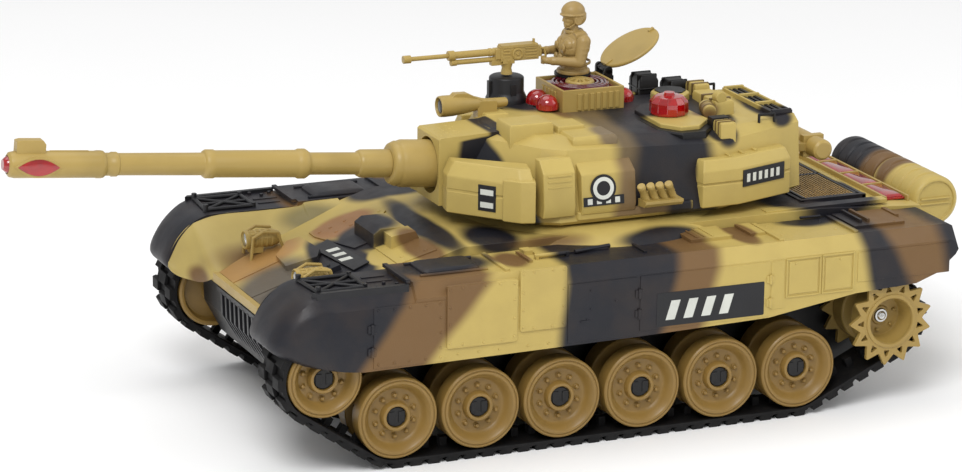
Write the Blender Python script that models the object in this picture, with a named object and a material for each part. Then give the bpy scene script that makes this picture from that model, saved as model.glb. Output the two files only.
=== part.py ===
"""A 1:20 scale radio-controlled battle tank, built from its separate mouldings.

The gun points along -Y, the tank's left side faces +X and +Z is up. The tracks stand on
z = 0 and the whole model is centred on the origin in plan. Sizes are in millimetres and
become metres when a mesh is made.
"""

from math import cos, hypot, pi, radians, sin

import bmesh
import bpy
from mathutils import Matrix, Vector

MM = 0.001
GAP = 0.3  # clearance between pieces that rest on each other

# Running gear
WHEEL_PITCH = 40.0
FIRST_WHEEL_Y = -76.5
WHEEL_COUNT = 6
WHEEL_Z = 23.6
WHEEL_RADIUS = 18.9
WHEEL_FACE_X = 87.6
WHEEL_BACK_X = 60.5
IDLER_Y = -111.0
IDLER_Z = 45.3
IDLER_RADIUS = 17.4
SPROCKET_Y = 171.0
SPROCKET_Z = 42.0
SPROCKET_TIP_RADIUS = 21.5
SPROCKET_ROOT_RADIUS = 16.6
SPROCKET_DRUM_RADIUS = 15.6
SPROCKET_TEETH = 13
BORE_RADIUS = 3.3
AXLE_RADIUS = 2.8
BELT_INNER_X = 61.5
BELT_OUTER_X = 87.2
BELT_LINKS = 78
BAND_THICKNESS = 2.4
PAD_THICKNESS = 1.6
BELT_CLEARANCE = 0.7  # keeps the belt's flat links off the round wheels

# Hull
SKIRT_X = 92.2
SKIRT_WALL = 1.6
FENDER_TOP_X = 87.3
FENDER_INNER_X = 55.8
FENDER_TOP_Z = 86.0
FRONT_FENDER_Z = 84.0
STEP_Y = -70.5
SHOULDER_Z = 79.4
SKIRT_LOW_FRONT_Z = 48.5
SKIRT_LOW_REAR_Z = 60.4
TUB_X = 54.2
TUB_FLOOR_Z = 13.0
DECK_Z = 90.0
LIP_Y = -121.0
LIP_Z = 62.5
GLACIS_TOP_Y = -38.0
REAR_Y = 203.0
DRUM_Y = 219.0
DRUM_Z = 83.5
DRUM_RADIUS = 12.3
DRUM_HALF = 43.0

# Turret
TURRET_Y = 50.0
TURRET_BASE_Z = 93.5
EDGE_HEIGHTS = ((14.0, 127.5), (101.0, 123.8), (150.0, 126.0))  # (y, z) along the roof's edge
CROWN_RISE = 3.5
RING_RADIUS = 33.0
TRUNNION = (0.0, -20.0, 114.2)
GUN_TILT = 5.2  # degrees above level at rest
GUN_LENGTH = 211.9  # trunnion to muzzle

# Roof fittings
MG_PIVOT = (-41.0, 30.0, 143.4)
BOX_CENTRE = (-28.0, 62.5)
BOX_HALF = 16.0
BOX_TOP_Z = 140.0
BEACON_CENTRE = (11.0, 91.0)
PLATE_TOP_Z = 130.6
PEDESTAL_RADIUS = 10.0
SEARCHLIGHT = (-22.0, -4.0, 135.4)
LID_HINGE = (-42.0, 81.5, 141.8)
LID_RADIUS = 15.6
LID_TILT = 30.0  # degrees that the open lid leans above level


def material(name, colour, roughness=0.55, metallic=0.0):
    """A Principled material with one colour."""
    found = bpy.data.materials.get(name)
    if found:
        return found
    made = bpy.data.materials.new(name)
    made.use_nodes = True
    shader = made.node_tree.nodes["Principled BSDF"]
    shader.inputs["Base Color"].default_value = (*colour, 1.0)
    shader.inputs["Roughness"].default_value = roughness
    shader.inputs["Metallic"].default_value = metallic
    made.diffuse_color = (*colour, 1.0)
    return made


def sand():
    return material("sand_plastic", (0.55, 0.43, 0.18))


def camo():
    return material("camouflaged_plastic", (0.42, 0.33, 0.17))


def black():
    return material("black_plastic", (0.02, 0.02, 0.022))


def slate():
    return material("slate_plastic", (0.06, 0.06, 0.065))


def red_lens():
    return material("red_lens", (0.6, 0.01, 0.02), 0.12)


def steel():
    return material("bright_steel", (0.6, 0.6, 0.6), 0.25, 1.0)


def finish(name, bm, look, place=(0, 0, 0), guide=False):
    """Turn a bmesh in millimetres into a named object at a place in the model."""
    bmesh.ops.scale(bm, vec=(MM, MM, MM), verts=bm.verts)
    bmesh.ops.recalc_face_normals(bm, faces=bm.faces)
    mesh = bpy.data.meshes.new(name)
    bm.to_mesh(mesh)
    bm.free()
    mesh.shade_smooth()
    mesh.set_sharp_from_angle(angle=radians(35))
    made = bpy.data.objects.new(name, mesh)
    bpy.context.collection.objects.link(made)
    made.location = Vector(place) * MM
    if guide:
        made.hide_render = True
        made.display_type = "WIRE"
    else:
        mesh.materials.append(look)
    return made


def boolean(target, tools, operation):
    """Join an object to bmeshes in model space, or cut it with them."""
    for number, tool in enumerate(tools):
        label = f"{target.name}_{operation.lower()}_{len(target.modifiers)}_{number}"
        other = finish(label, tool, None, guide=True)
        other.parent = target
        other.matrix_parent_inverse = Matrix.Translation(-target.location)
        step = target.modifiers.new(label, "BOOLEAN")
        step.operation = operation
        step.object = other
    return target


def box(x0, x1, y0, y1, z0, z1):
    """A rectangular block."""
    bm = bmesh.new()
    bmesh.ops.create_cube(bm, size=1.0)
    size = Vector((x1 - x0, y1 - y0, z1 - z0))
    middle = Vector((x0 + x1, y0 + y1, z0 + z1)) / 2
    bmesh.ops.scale(bm, vec=size, verts=bm.verts)
    bmesh.ops.translate(bm, vec=middle, verts=bm.verts)
    return bm


def rings(loops, closed=False):
    """Skin a row of equally long point loops, with end caps unless the row closes on itself."""
    bm = bmesh.new()
    rows = [[bm.verts.new(point) for point in loop] for loop in loops]
    count = len(rows[0])
    pairs = list(zip(rows, rows[1:] + ([rows[0]] if closed else [])))
    for first, second in pairs:
        for i in range(count):
            j = (i + 1) % count
            bm.faces.new((first[i], first[j], second[j], second[i]))
    if not closed:
        bm.faces.new(rows[0][::-1])
        bm.faces.new(rows[-1])
    return bm


def prism_x(outline, x0, x1):
    """A (y, z) outline pushed along X."""
    return rings([[(x, y, z) for y, z in outline] for x in (x0, x1)])


def prism_z(outline, z0, z1):
    """An (x, y) outline pushed along Z."""
    return rings([[(x, y, z) for x, y in outline] for z in (z0, z1)])


def circle(radius, count, centre=(0.0, 0.0), start=0.0):
    """Points on a circle."""
    turn = 2 * pi / count
    return [
        (centre[0] + radius * cos(start + i * turn), centre[1] + radius * sin(start + i * turn))
        for i in range(count)
    ]


# A turned profile's heights run towards +X, -Y (forward) or +Z.
AXIS_TURNS = {
    "x": Matrix(((0, 0, 1), (1, 0, 0), (0, 1, 0))),
    "y": Matrix(((1, 0, 0), (0, 0, -1), (0, 1, 0))),
    "z": Matrix.Identity(3),
}


def lathe(profile, count, axis="z", centre=(0, 0, 0)):
    """Turn a closed (radius, height) profile about an axis; a profile may end on the axis."""
    on_axis = profile[0][0] == 0.0
    body = profile[1:-1] if on_axis else profile
    loops = [[(x, y, h) for x, y in circle(r, count)] for r, h in body]
    if on_axis:
        bm = rings(loops)
    else:
        bm = rings(loops, closed=True)
    bmesh.ops.transform(bm, matrix=AXIS_TURNS[axis].to_4x4(), verts=bm.verts)
    bmesh.ops.translate(bm, vec=Vector(centre), verts=bm.verts)
    return bm


def rod(radius, start, length, axis, count=12):
    """A plain cylinder that starts at a point and runs along an axis."""
    return lathe([(0.0, 0.0), (radius, 0.0), (radius, length), (0.0, length)], count, axis, start)


def side(value, hand):
    """Mirror an X value: hand is +1 on the tank's left and -1 on its right."""
    return value * hand


def span(a, b, hand):
    """Two X values in rising order on the given side."""
    return sorted((side(a, hand), side(b, hand)))


HANDS = (("left", 1), ("right", -1))


# ---------------------------------------------------------------- running gear


def belt_circles():
    """Centre, and radius of the belt's inner face, at each wheel that the belt runs on."""
    circles = [(IDLER_Y, IDLER_Z, IDLER_RADIUS + BELT_CLEARANCE)]
    circles += [
        (FIRST_WHEEL_Y + i * WHEEL_PITCH, WHEEL_Z, WHEEL_RADIUS + BELT_CLEARANCE)
        for i in range(WHEEL_COUNT)
    ]
    circles.append((SPROCKET_Y, SPROCKET_Z, SPROCKET_DRUM_RADIUS + BELT_CLEARANCE))
    return circles


def support(circles, angle):
    """The point of the belt's inner line that faces an angle."""
    y, z, r = max(circles, key=lambda c: c[0] * cos(angle) + c[1] * sin(angle) + c[2])
    return (y + r * cos(angle), z + r * sin(angle))


def belt_line(links):
    """Equally spaced points around the taut belt's inner face."""
    circles = belt_circles()
    steps = 1440
    dense = [support(circles, 2 * pi * i / steps) for i in range(steps)]
    dense.append(dense[0])
    lengths = [0.0]
    for a, b in zip(dense, dense[1:]):
        lengths.append(lengths[-1] + hypot(b[0] - a[0], b[1] - a[1]))
    pitch = lengths[-1] / links
    points = []
    k = 0
    for i in range(links):
        target = i * pitch
        while lengths[k + 1] < target:
            k += 1
        run = lengths[k + 1] - lengths[k]
        share = (target - lengths[k]) / run if run else 0.0
        a, b = dense[k], dense[k + 1]
        points.append((a[0] + share * (b[0] - a[0]), a[1] + share * (b[1] - a[1])))
    return points


def track(name, hand):
    """A moulded belt: a band with one raised pad on each link."""
    quarter = belt_line(BELT_LINKS * 4)
    count = len(quarter)
    outer = []
    inner = []
    for i, (y, z) in enumerate(quarter):
        before, after = quarter[i - 1], quarter[(i + 1) % count]
        run = Vector((after[0] - before[0], after[1] - before[1])).normalized()
        normal = Vector((run.y, -run.x))
        raised = i % 4 in (1, 2)
        reach = BAND_THICKNESS + (PAD_THICKNESS if raised else 0.0)
        outer.append((y + normal.x * reach, z + normal.y * reach))
        if i % 4 == 0:
            inner.append((y, z))
    x0, x1 = span(BELT_INNER_X, BELT_OUTER_X, hand)
    bm = bmesh.new()
    shells = []
    for x in (x0, x1):
        far = [bm.verts.new((x, y, z)) for y, z in outer]
        near = [bm.verts.new((x, y, z)) for y, z in inner]
        shells.append((far, near))
    (far0, near0), (far1, near1) = shells
    links = len(inner)
    for i in range(count):
        j = (i + 1) % count
        bm.faces.new((far0[i], far0[j], far1[j], far1[i]))
    for k in range(links):
        m = (k + 1) % links
        bm.faces.new((near0[m], near0[k], near1[k], near1[m]))
        for far, near in shells:
            ring = [far[(4 * k + step) % count] for step in range(5)]
            bm.faces.new([near[k], near[m]] + ring[::-1])
    return finish(name, bm, black())


def wheel(name, y, z, radius, hand):
    """A dished wheel with a bored hub that turns on a stub axle."""
    face = WHEEL_FACE_X
    profile = [
        (BORE_RADIUS, WHEEL_BACK_X),
        (radius, WHEEL_BACK_X),
        (radius, face),
        (radius - 3.6, face),
        (radius - 6.2, face - 5.0),
        (6.4, face - 5.0),
        (5.4, face - 1.4),
        (BORE_RADIUS, face - 1.4),
    ]
    profile = [(r, side(h, hand)) for r, h in profile]
    bm = lathe(profile, 16, "x")
    return finish(name, bm, sand(), (0, y, z))


def star(inner_radius, x0, x1):
    """A toothed ring about the X axis."""
    teeth = []
    for i in range(2 * SPROCKET_TEETH):
        radius = SPROCKET_TIP_RADIUS if i % 2 else SPROCKET_ROOT_RADIUS
        angle = pi * i / SPROCKET_TEETH
        teeth.append((radius * cos(angle), radius * sin(angle)))
    hole = circle(inner_radius, 2 * SPROCKET_TEETH)
    corners = ((x0, teeth), (x1, teeth), (x1, hole), (x0, hole))
    return rings([[(x, y, z) for y, z in line] for x, line in corners], closed=True)


def sprocket(name, hand):
    """The drive sprocket: a drum between two toothed rings, with a deep outer recess."""
    profile = [
        (BORE_RADIUS, 60.0),
        (SPROCKET_DRUM_RADIUS, 60.0),
        (SPROCKET_DRUM_RADIUS, 88.4),
        (10.6, 88.4),
        (9.4, 78.0),
        (BORE_RADIUS, 78.0),
    ]
    profile = [(r, side(h, hand)) for r, h in profile]
    made = finish(name, lathe(profile, 16, "x"), sand(), (0, SPROCKET_Y, SPROCKET_Z))
    outer = star(10.3, side(87.6, hand), side(90.2, hand))
    inner = star(5.0, side(58.4, hand), side(61.0, hand))
    for ring in (outer, inner):
        bmesh.ops.translate(ring, vec=(0, SPROCKET_Y, SPROCKET_Z), verts=ring.verts)
    return boolean(made, [outer, inner], "UNION")


def drive_shaft(name, hand):
    """The steel output shaft, with the screw and washer that hold the sprocket on."""
    profile = [(0.0, 42.0), (2.6, 42.0), (2.6, 78.6), (3.1, 78.6), (3.1, 79.6), (2.2, 79.6)]
    profile += [(1.6, 81.0), (0.0, 81.0)]
    profile = [(r, side(h, hand)) for r, h in profile]
    bm = lathe(profile, 14, "x")
    return finish(name, bm, steel(), (0, SPROCKET_Y, SPROCKET_Z))


def wheel_stations():
    """Every free wheel on one side: its plain name, place and radius."""
    stations = [("idler_wheel", IDLER_Y, IDLER_Z, IDLER_RADIUS)]
    for i in range(WHEEL_COUNT):
        y = FIRST_WHEEL_Y + i * WHEEL_PITCH
        stations.append((f"road_wheel_{i + 1}", y, WHEEL_Z, WHEEL_RADIUS))
    return stations


def running_gear():
    """Tracks, wheels, sprockets and their shafts on both sides."""
    for hand_name, hand in HANDS:
        track(f"{hand_name}_track", hand)
        for plain, y, z, radius in wheel_stations():
            wheel(f"{hand_name}_{plain}", y, z, radius, hand)
        sprocket(f"{hand_name}_drive_sprocket", hand)
        drive_shaft(f"{hand_name}_drive_shaft", hand)


# ------------------------------------------------------------------------ hull


def fender_outline(front_pull, top_drop):
    """The (y, z) outline of one fender slice, from the skirt's front foot round over the top."""
    front = -136.0 + front_pull
    high = FRONT_FENDER_Z - top_drop
    top = FENDER_TOP_Z - top_drop
    rear = REAR_Y + 0.8
    return [
        (-94.5, SKIRT_LOW_FRONT_Z),
        (-109.0 + front_pull / 3, 50.0),
        (front + 14.0, 52.5),
        (front + 3.0, 58.0),
        (front, 64.5),
        (front + 5.5, 74.5),
        (front + 13.5, min(81.5, high - 0.8)),
        (front + 20.0, high),
        (STEP_Y, high),
        (STEP_Y + 1.0, top),
        (rear - 4.0, top),
        (rear, top - 5.0),
        (rear - 1.5, 72.0),
        (rear - 11.0, SKIRT_LOW_REAR_Z + 3.5),
        (rear - 22.0, SKIRT_LOW_REAR_Z - 0.5),
        (149.7, 58.5),
        (105.0, 51.7),
        (38.5, 50.0),
    ]


def fender(hand):
    """One fender and its skirt as a solid, rounded at its front and bevelled on its shoulder."""
    slices = (
        (FENDER_INNER_X - 1.5, 2.0, 0.0),
        (FENDER_INNER_X + 4.0, 0.0, 0.0),
        (FENDER_TOP_X - 6.0, 0.6, 0.0),
        (FENDER_TOP_X, 3.0, 0.0),
        (SKIRT_X - 1.4, 7.0, 5.0),
        (SKIRT_X, 11.0, FENDER_TOP_Z - SHOULDER_Z),
    )
    loops = [[(side(x, hand), y, z) for y, z in fender_outline(f, d)] for x, f, d in slices]
    return rings(loops)


def bay_outline(front_pull, top_drop):
    """The (y, z) outline of the space under one fender slice, open in front and below."""
    front = -136.0 + front_pull + SKIRT_WALL
    high = FRONT_FENDER_Z - top_drop - SKIRT_WALL
    rear = REAR_Y + 0.8 - SKIRT_WALL
    return [
        (-140.0, 30.0),
        (-140.0, 57.6),
        (front + 2.4, 58.2),
        (front, 64.5),
        (front + 5.5, 74.5),
        (front + 13.5, high - 1.2),
        (front + 20.0, high),
        (rear - 4.0, high),
        (rear, high - 5.0),
        (rear, 30.0),
    ]


def track_bay(hand):
    """The space under a fender that the track and wheels run in."""
    slices = (
        (FENDER_INNER_X + 1.6, 3.0, 0.0),
        (FENDER_TOP_X - 3.0, 2.0, 0.0),
        (SKIRT_X - SKIRT_WALL - 1.4, 7.0, 5.0),
        (SKIRT_X - SKIRT_WALL, 10.0, FENDER_TOP_Z - SHOULDER_Z),
    )
    return rings([[(side(x, hand), y, z) for y, z in bay_outline(f, d)] for x, f, d in slices])


# (y, x and z of the foot on the glacis, z at the fender's rim) from the nose to the deck
NOSE_SLOPE = (
    (-133.5, 54.8, 59.7, 68.5),
    (-127.0, 49.0, 57.2, 77.5),
    (-124.0, 40.0, 58.2, 80.0),
    (-120.8, 31.0, 62.5, 81.4),
    (-110.0, 35.5, 65.9, 83.7),
    (-90.0, 42.0, 72.2, 83.7),
    (-60.0, 49.0, 81.6, 85.6),
    (-50.0, 51.5, 84.7, 85.9),
)


def nose_slope(hand):
    """The smooth slope from the fender's inner rim down to the glacis and its lip."""
    rim = FENDER_INNER_X + 1.2
    loops = []
    for y, foot_x, foot_z, rim_z in NOSE_SLOPE:
        low = foot_z - 1.6
        line = [(foot_x, foot_z), (rim, rim_z), (rim, low), (foot_x, low)]
        loops.append([(side(x, hand), y, z) for x, z in line])
    bm = rings(loops)
    bmesh.ops.triangulate(bm, faces=bm.faces)
    return bm


def deck_outline(inset=0.0):
    """The (y, z) outline of the hull's middle, from the glacis lip over the deck to the rear."""
    foot = 58.5 - 4.0 * (inset > 0)
    return [
        (LIP_Y + 1.5 * inset, foot),
        (LIP_Y + 1.5 * inset, LIP_Z - inset),
        (GLACIS_TOP_Y, DECK_Z - 1.5 - inset),
        (GLACIS_TOP_Y + 6.0, DECK_Z - inset),
        (150.0, DECK_Z - inset),
        (REAR_Y - inset, DECK_Z - 3.5 - inset),
        (REAR_Y - inset, foot),
    ]


def upper_hull():
    """The painted upper moulding: glacis, deck, both fenders and both skirts."""
    wall = 2.2
    made = finish("upper_hull", prism_x(deck_outline(), -FENDER_INNER_X, FENDER_INNER_X), camo())
    boolean(made, [fender(1), fender(-1), nose_slope(1), nose_slope(-1)], "UNION")
    inner = TUB_X + GAP
    boolean(made, [track_bay(1), track_bay(-1), prism_x(deck_outline(wall), -inner, inner)], "DIFFERENCE")
    ring = prism_z(circle(RING_RADIUS, 32, (0, TURRET_Y)), DECK_Z - 5.0, DECK_Z + 2.0)
    grille = box(-40.3, 40.3, 148.7, 178.3, DECK_Z - 6.0, DECK_Z + 2.0)
    shafts = rod(3.6, (-60.0, SPROCKET_Y, SPROCKET_Z), 120.0, "x")
    idlers = rod(AXLE_RADIUS + GAP, (-60.0, IDLER_Y, IDLER_Z), 120.0, "x")
    boolean(made, [ring, grille, shafts, idlers], "DIFFERENCE")
    slab_z = FENDER_TOP_Z
    slabs = []
    for _, hand in HANDS:
        x0, x1 = span(52.0, 78.0, hand)
        slabs.append(box(x0, x1, 60.0, 96.0, slab_z - 1.0, slab_z + 1.6))
        slabs.append(box(x0, x1, 100.0, 128.0, slab_z - 1.0, slab_z + 1.6))
        slabs.append(box(x0, x1, 155.0, 180.0, slab_z - 1.0, slab_z + 2.0))
        slabs.append(box(*span(58.0, 84.0, hand), -62.0, -8.0, slab_z - 1.0, slab_z + 1.2))
        slabs.append(box(*span(60.0, 86.0, hand), -113.0, -76.0, slab_z - 3.0, slab_z - 0.6))
        for x in (63.0, 83.0):
            slabs.append(rod(1.2, (side(x, hand), -111.0, slab_z - 2.0), 6.0, "z", 8))
    slabs.append(box(-30.0, 30.0, LIP_Y - 1.0, LIP_Y + 2.0, LIP_Z - 2.0, LIP_Z + 1.4))
    slabs.append(box(-10.0, 26.0, -60.0, -46.0, 76.0, 91.0))
    return boolean(made, slabs, "UNION")


def tub_outline(inset=0.0):
    """The (y, z) outline of the lower tub."""
    return [
        (-119.0 + inset, 57.8),
        (-118.5 + inset, 44.0),
        (-110.0 + inset, 28.0),
        (-95.0 + inset, TUB_FLOOR_Z + 3.0 + inset),
        (-86.0 + inset, TUB_FLOOR_Z + inset),
        (168.0 - inset, TUB_FLOOR_Z + inset),
        (194.0 - inset, 40.0),
        (200.0 - inset, 57.8),
    ]


def lower_hull():
    """The black tub with a stub axle for every free wheel and a bay for the batteries."""
    wall = 2.0
    made = finish("lower_hull", prism_x(tub_outline(), -TUB_X, TUB_X), black())
    inner = [(y, z + (4.0 if z > 50.0 else 0.0)) for y, z in tub_outline(wall)]
    boolean(made, [prism_x(inner, -TUB_X + wall, TUB_X - wall)], "DIFFERENCE")
    axles = []
    for _, hand in HANDS:
        for _, y, z, _radius in wheel_stations():
            start = side(TUB_X - 1.0, hand)
            reach = side(WHEEL_FACE_X - 3.0 - TUB_X + 1.0, hand)
            axles.append(rod(AXLE_RADIUS, (start, y, z), reach, "x", 10))
    boolean(made, axles, "UNION")
    holes = [rod(3.6, (-60.0, SPROCKET_Y, SPROCKET_Z), 120.0, "x")]
    holes.append(box(-20.3, 20.3, -20.3, 60.3, TUB_FLOOR_Z - 1.0, TUB_FLOOR_Z + 3.0))
    holes.append(box(-6.0, 6.0, 83.0, 97.0, TUB_FLOOR_Z - 1.0, TUB_FLOOR_Z + 3.0))
    return boolean(made, holes, "DIFFERENCE")


def floor_fittings():
    """The battery door and the power switch in the tub's floor."""
    door = box(-20.0, 20.0, -20.0, 60.0, TUB_FLOOR_Z, TUB_FLOOR_Z + 1.8)
    finish("battery_door", door, black())
    switch = finish("power_switch", box(-5.4, 5.4, -2.5, 2.5, 0.1, 5.0), black(), (0, 86.5, TUB_FLOOR_Z))
    boolean(switch, [box(-2.0, 2.0, 85.5, 87.5, TUB_FLOOR_Z - 1.2, TUB_FLOOR_Z + 1.0)], "UNION")


def inner_works():
    """What the hull holds: battery, circuit board, speaker, motors and gearboxes."""
    floor = TUB_FLOOR_Z + 2.0
    finish("battery_pack", box(-18.0, 18.0, -18.0, 58.0, floor + 1.0, floor + 19.0), slate())
    board = material("green_circuit_board", (0.02, 0.16, 0.05), 0.4)
    finish("circuit_board", box(-30.0, 30.0, 66.0, 112.0, 50.0, 51.6), board)
    speaker = lathe([(0.0, 0.0), (16.0, 0.0), (16.0, 3.0), (7.0, 9.0), (0.0, 9.0)], 20, "z")
    finish("speaker", speaker, black(), (0, -50.0, 30.0))
    for hand_name, hand in HANDS:
        x0, x1 = span(30.0, 51.5, hand)
        gearbox = finish(f"{hand_name}_gearbox", box(x0, x1, 128.0, 181.0, 31.0, 60.0), slate())
        bore = rod(3.0, (side(29.0, hand), SPROCKET_Y, SPROCKET_Z), side(24.0, hand), "x")
        boolean(gearbox, [bore], "DIFFERENCE")
        motor = rod(10.0, (side(4.0, hand), 142.0, 44.0), side(25.7, hand), "x", 18)
        finish(f"{hand_name}_drive_motor", motor, steel())


def rear_drum(name, hand):
    """A ribbed fuel drum that lies across the hull's rear plate on a bracket."""
    inner, outer = 0.4, DRUM_HALF
    profile = [(0.0, inner), (DRUM_RADIUS - 2.0, inner), (DRUM_RADIUS, inner + 3.0)]
    for share in (0.34, 0.66):
        place = inner + share * (outer - inner)
        profile += [(DRUM_RADIUS, place - 1.2), (DRUM_RADIUS - 0.8, place), (DRUM_RADIUS, place + 1.2)]
    profile += [(DRUM_RADIUS, outer - 2.0), (DRUM_RADIUS - 1.5, outer), (0.0, outer)]
    profile = [(r, side(h, hand)) for r, h in profile]
    made = finish(name, lathe(profile, 18, "x", (0, DRUM_Y, DRUM_Z)), camo())
    bracket = box(*span(14.0, 20.0, hand), REAR_Y + GAP, DRUM_Y - 6.0, DRUM_Z - 8.0, DRUM_Z)
    return boolean(made, [bracket], "UNION")


def headlight(name, hand):
    """A ribbed lamp body on the glacis with a bright round front."""
    x, y = side(34.0, hand), -100.0
    z = LIP_Z + (y - LIP_Y) * (DECK_Z - 1.5 - LIP_Z) / (GLACIS_TOP_Y - LIP_Y)
    profile = [(0.0, -12.0), (3.2, -12.0), (4.4, -8.0), (4.4, 4.0), (3.4, 6.0), (0.0, 6.0)]
    made = finish(name, lathe(profile, 14, "y", (x, y, z + 7.8)), sand())
    return boolean(made, [box(x - 2.5, x + 2.5, y - 3.0, y + 3.0, z + 1.4, z + 5.0)], "UNION")


def hull_fittings():
    """Grille, light strip, fuel drums and headlights."""
    grille = box(-40.0, 40.0, 149.0, 178.0, DECK_Z - 3.6, DECK_Z + 0.8)
    finish("engine_grille", grille, material("bronze_mesh", (0.2, 0.16, 0.1)))
    base_z = DECK_Z - 2.6
    strip = finish("rear_light_strip", box(-46.0, 46.0, 189.5, 200.0, base_z, base_z + 1.0), red_lens())
    panels = []
    for x in (-34.5, -11.5, 11.5, 34.5):
        panels.append(box(x - 9.5, x + 9.5, 190.5, 199.0, base_z + 0.5, base_z + 2.2))
    boolean(strip, panels, "UNION")
    for hand_name, hand in HANDS:
        rear_drum(f"{hand_name}_fuel_drum", hand)
        headlight(f"{hand_name}_headlight", hand)


# ---------------------------------------------------------------------- turret


def mirrored(half):
    """A closed plan outline from its +X half, which runs from front to rear."""
    return half + [(-x, y) for x, y in reversed(half)]


BASE_HALF = [(13.0, -22.0), (30.0, -5.0), (46.0, 6.0), (52.0, 17.0), (52.0, 99.0), (31.0, 151.0)]
ROOF_HALF = [(9.0, -6.0), (28.0, 6.0), (39.0, 13.0), (45.0, 23.0), (45.0, 101.0), (30.0, 150.0)]
CROWN_HALF = [(6.0, 2.0), (16.0, 9.0), (26.0, 15.0), (34.0, 26.0), (34.0, 101.0), (27.0, 149.0)]


def edge_z(y):
    """Height of the roof's edge: it falls from the front and rises again over the bustle."""
    first, middle, last = EDGE_HEIGHTS
    near, far = (first, middle) if y < middle[0] else (middle, last)
    share = min(max((y - near[0]) / (far[0] - near[0]), 0.0), 1.0)
    return near[1] + share * (far[1] - near[1])


def roof_z(y):
    """Height of the roof's flat middle."""
    return edge_z(y) + CROWN_RISE


def shrunk(half, amount):
    """A plan outline pulled towards the turret's centre line and middle."""
    middle = 60.0
    return [(x - amount, y + (amount if y < middle else -amount)) for x, y in half]


def turret_body(inset=0.0):
    """The turret's form from base to roof, in triangles because its sides twist."""
    base, edge, crown = (mirrored(shrunk(half, inset)) for half in (BASE_HALF, ROOF_HALF, CROWN_HALF))
    foot = TURRET_BASE_Z - inset
    bm = rings(
        [
            [(x, y, foot) for x, y in base],
            [(x, y, edge_z(y) - inset) for x, y in edge],
            [(x, y, roof_z(y) - inset) for x, y in crown],
        ]
    )
    bmesh.ops.triangulate(bm, faces=bm.faces)
    return bm


def roof_seats():
    """Openings in the roof that the fittings drop into."""
    x, y, _ = MG_PIVOT
    seats = [rod(PEDESTAL_RADIUS + GAP, (x, y, 120.0), 20.0, "z", 20)]
    x, y = BOX_CENTRE
    half = BOX_HALF + GAP
    seats.append(box(x - half, x + half, y - half, y + half, roof_z(y) - 3.0 - GAP, 150.0))
    x, y, _ = LID_HINGE
    seats.append(box(x - 6.3, x + 6.3, y - 2.9, y + 2.9, roof_z(y) - 6.3, 150.0))
    x, y, _ = SEARCHLIGHT
    seats.append(box(x - 3.3, x + 3.3, y + 9.7, y + 20.3, roof_z(y + 15.0) - 3.0, 150.0))
    return seats


def turret_shell():
    """The painted turret moulding with its armour blocks, stowage boxes and bustle rack."""
    made = finish("turret_shell", turret_body(), camo())
    boolean(made, [turret_body(inset=2.2)], "DIFFERENCE")
    blocks = [box(-13.0, 13.0, -30.6, 6.0, 97.6, 129.2)]
    for _, hand in HANDS:
        cheek = [(14.0, -29.0), (22.0, -31.0), (42.0, -12.0), (51.0, -2.0), (53.5, 4.0), (40.0, 6.3)]
        cheek = [(side(x, hand), y) for x, y in cheek]
        blocks.append(prism_z(cheek, 97.0, 117.0))
        blocks.append(box(*span(44.0, 54.0, hand), 8.0, 24.0, 98.4, 124.2))
        blocks.append(box(*span(45.0, 54.5, hand), 27.0, 54.0, 98.2, 118.2))
        pack = [(40.0, 85.0), (53.5, 89.0), (53.0, 108.0), (42.5, 140.0), (30.0, 140.3)]
        blocks.append(prism_z([(side(x, hand), y) for x, y in pack], 98.0, 112.0))
    blocks.append(box(10.0, 26.0, 3.0, 25.0, 124.0, 136.0))
    blocks.append(box(12.0, 26.3, 27.0, 42.0, 124.3, 133.0))
    blocks.append(box(24.0, 41.5, 27.7, 50.3, 121.0, 131.6))
    blocks.append(box(-26.0, 26.0, 138.0, 148.2, 125.0, 131.0))
    blocks.append(box(-4.0, 14.0, 114.0, 124.0, 125.4, 135.0))
    blocks.append(box(31.0, 42.0, 103.0, 111.0, 121.5, 132.0))
    blocks.append(box(-29.0, -17.5, 119.0, 127.0, 124.2, 135.4))
    blocks.append(prism_z(circle(9.5, 8, (-20.0, 106.5), pi / 8), 125.3, 134.0))
    plate = [(-18.0, 85.0), (-6.0, 76.0), (30.0, 76.0), (41.0, 84.0), (41.0, 96.0), (28.0, 108.0)]
    plate += [(-6.0, 106.0), (-18.0, 98.0)]
    blocks.append(prism_z(plate, 121.0, PLATE_TOP_Z))
    boolean(made, blocks, "UNION")
    slot = [(-40.0, 99.5), (-26.0, 99.5), (-6.0, 101.0), (-6.0, 127.4), (-20.0, 128.1), (-40.0, 128.1)]
    return boolean(made, [prism_x(slot, -11.8, 11.8)] + roof_seats(), "DIFFERENCE")


def turret_base():
    """The plate that closes the turret from below, with the neck that turns in the hull."""
    plate_z = TURRET_BASE_Z - 1.8
    profile = [(14.0, DECK_Z - 8.0), (RING_RADIUS - 1.0, DECK_Z - 8.0), (RING_RADIUS - 1.0, plate_z - 0.8)]
    profile += [(44.0, plate_z - 0.8), (44.0, plate_z + 1.2), (14.0, plate_z + 1.2)]
    made = finish("turret_base", lathe(profile, 24, "z"), black(), (0, TURRET_Y, 0))
    return made


def turret_motor():
    """The gearmotor that turns the turret, standing on the turret base."""
    floor = TURRET_BASE_Z
    finish("turret_motor", box(16.0, 32.0, 50.0, 76.0, floor, floor + 22.0), slate())


def gun_tilted(bm):
    """Raise a piece that was made level about the trunnion to the gun's rest angle."""
    turn = Matrix.Rotation(radians(-GUN_TILT), 4, "X")
    bmesh.ops.transform(bm, matrix=turn, verts=bm.verts)
    return bm


def along_gun(profile, count=18):
    """Turn a (radius, distance ahead of the trunnion) profile about the gun's axis."""
    return gun_tilted(lathe(profile, count, "y"))


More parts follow.
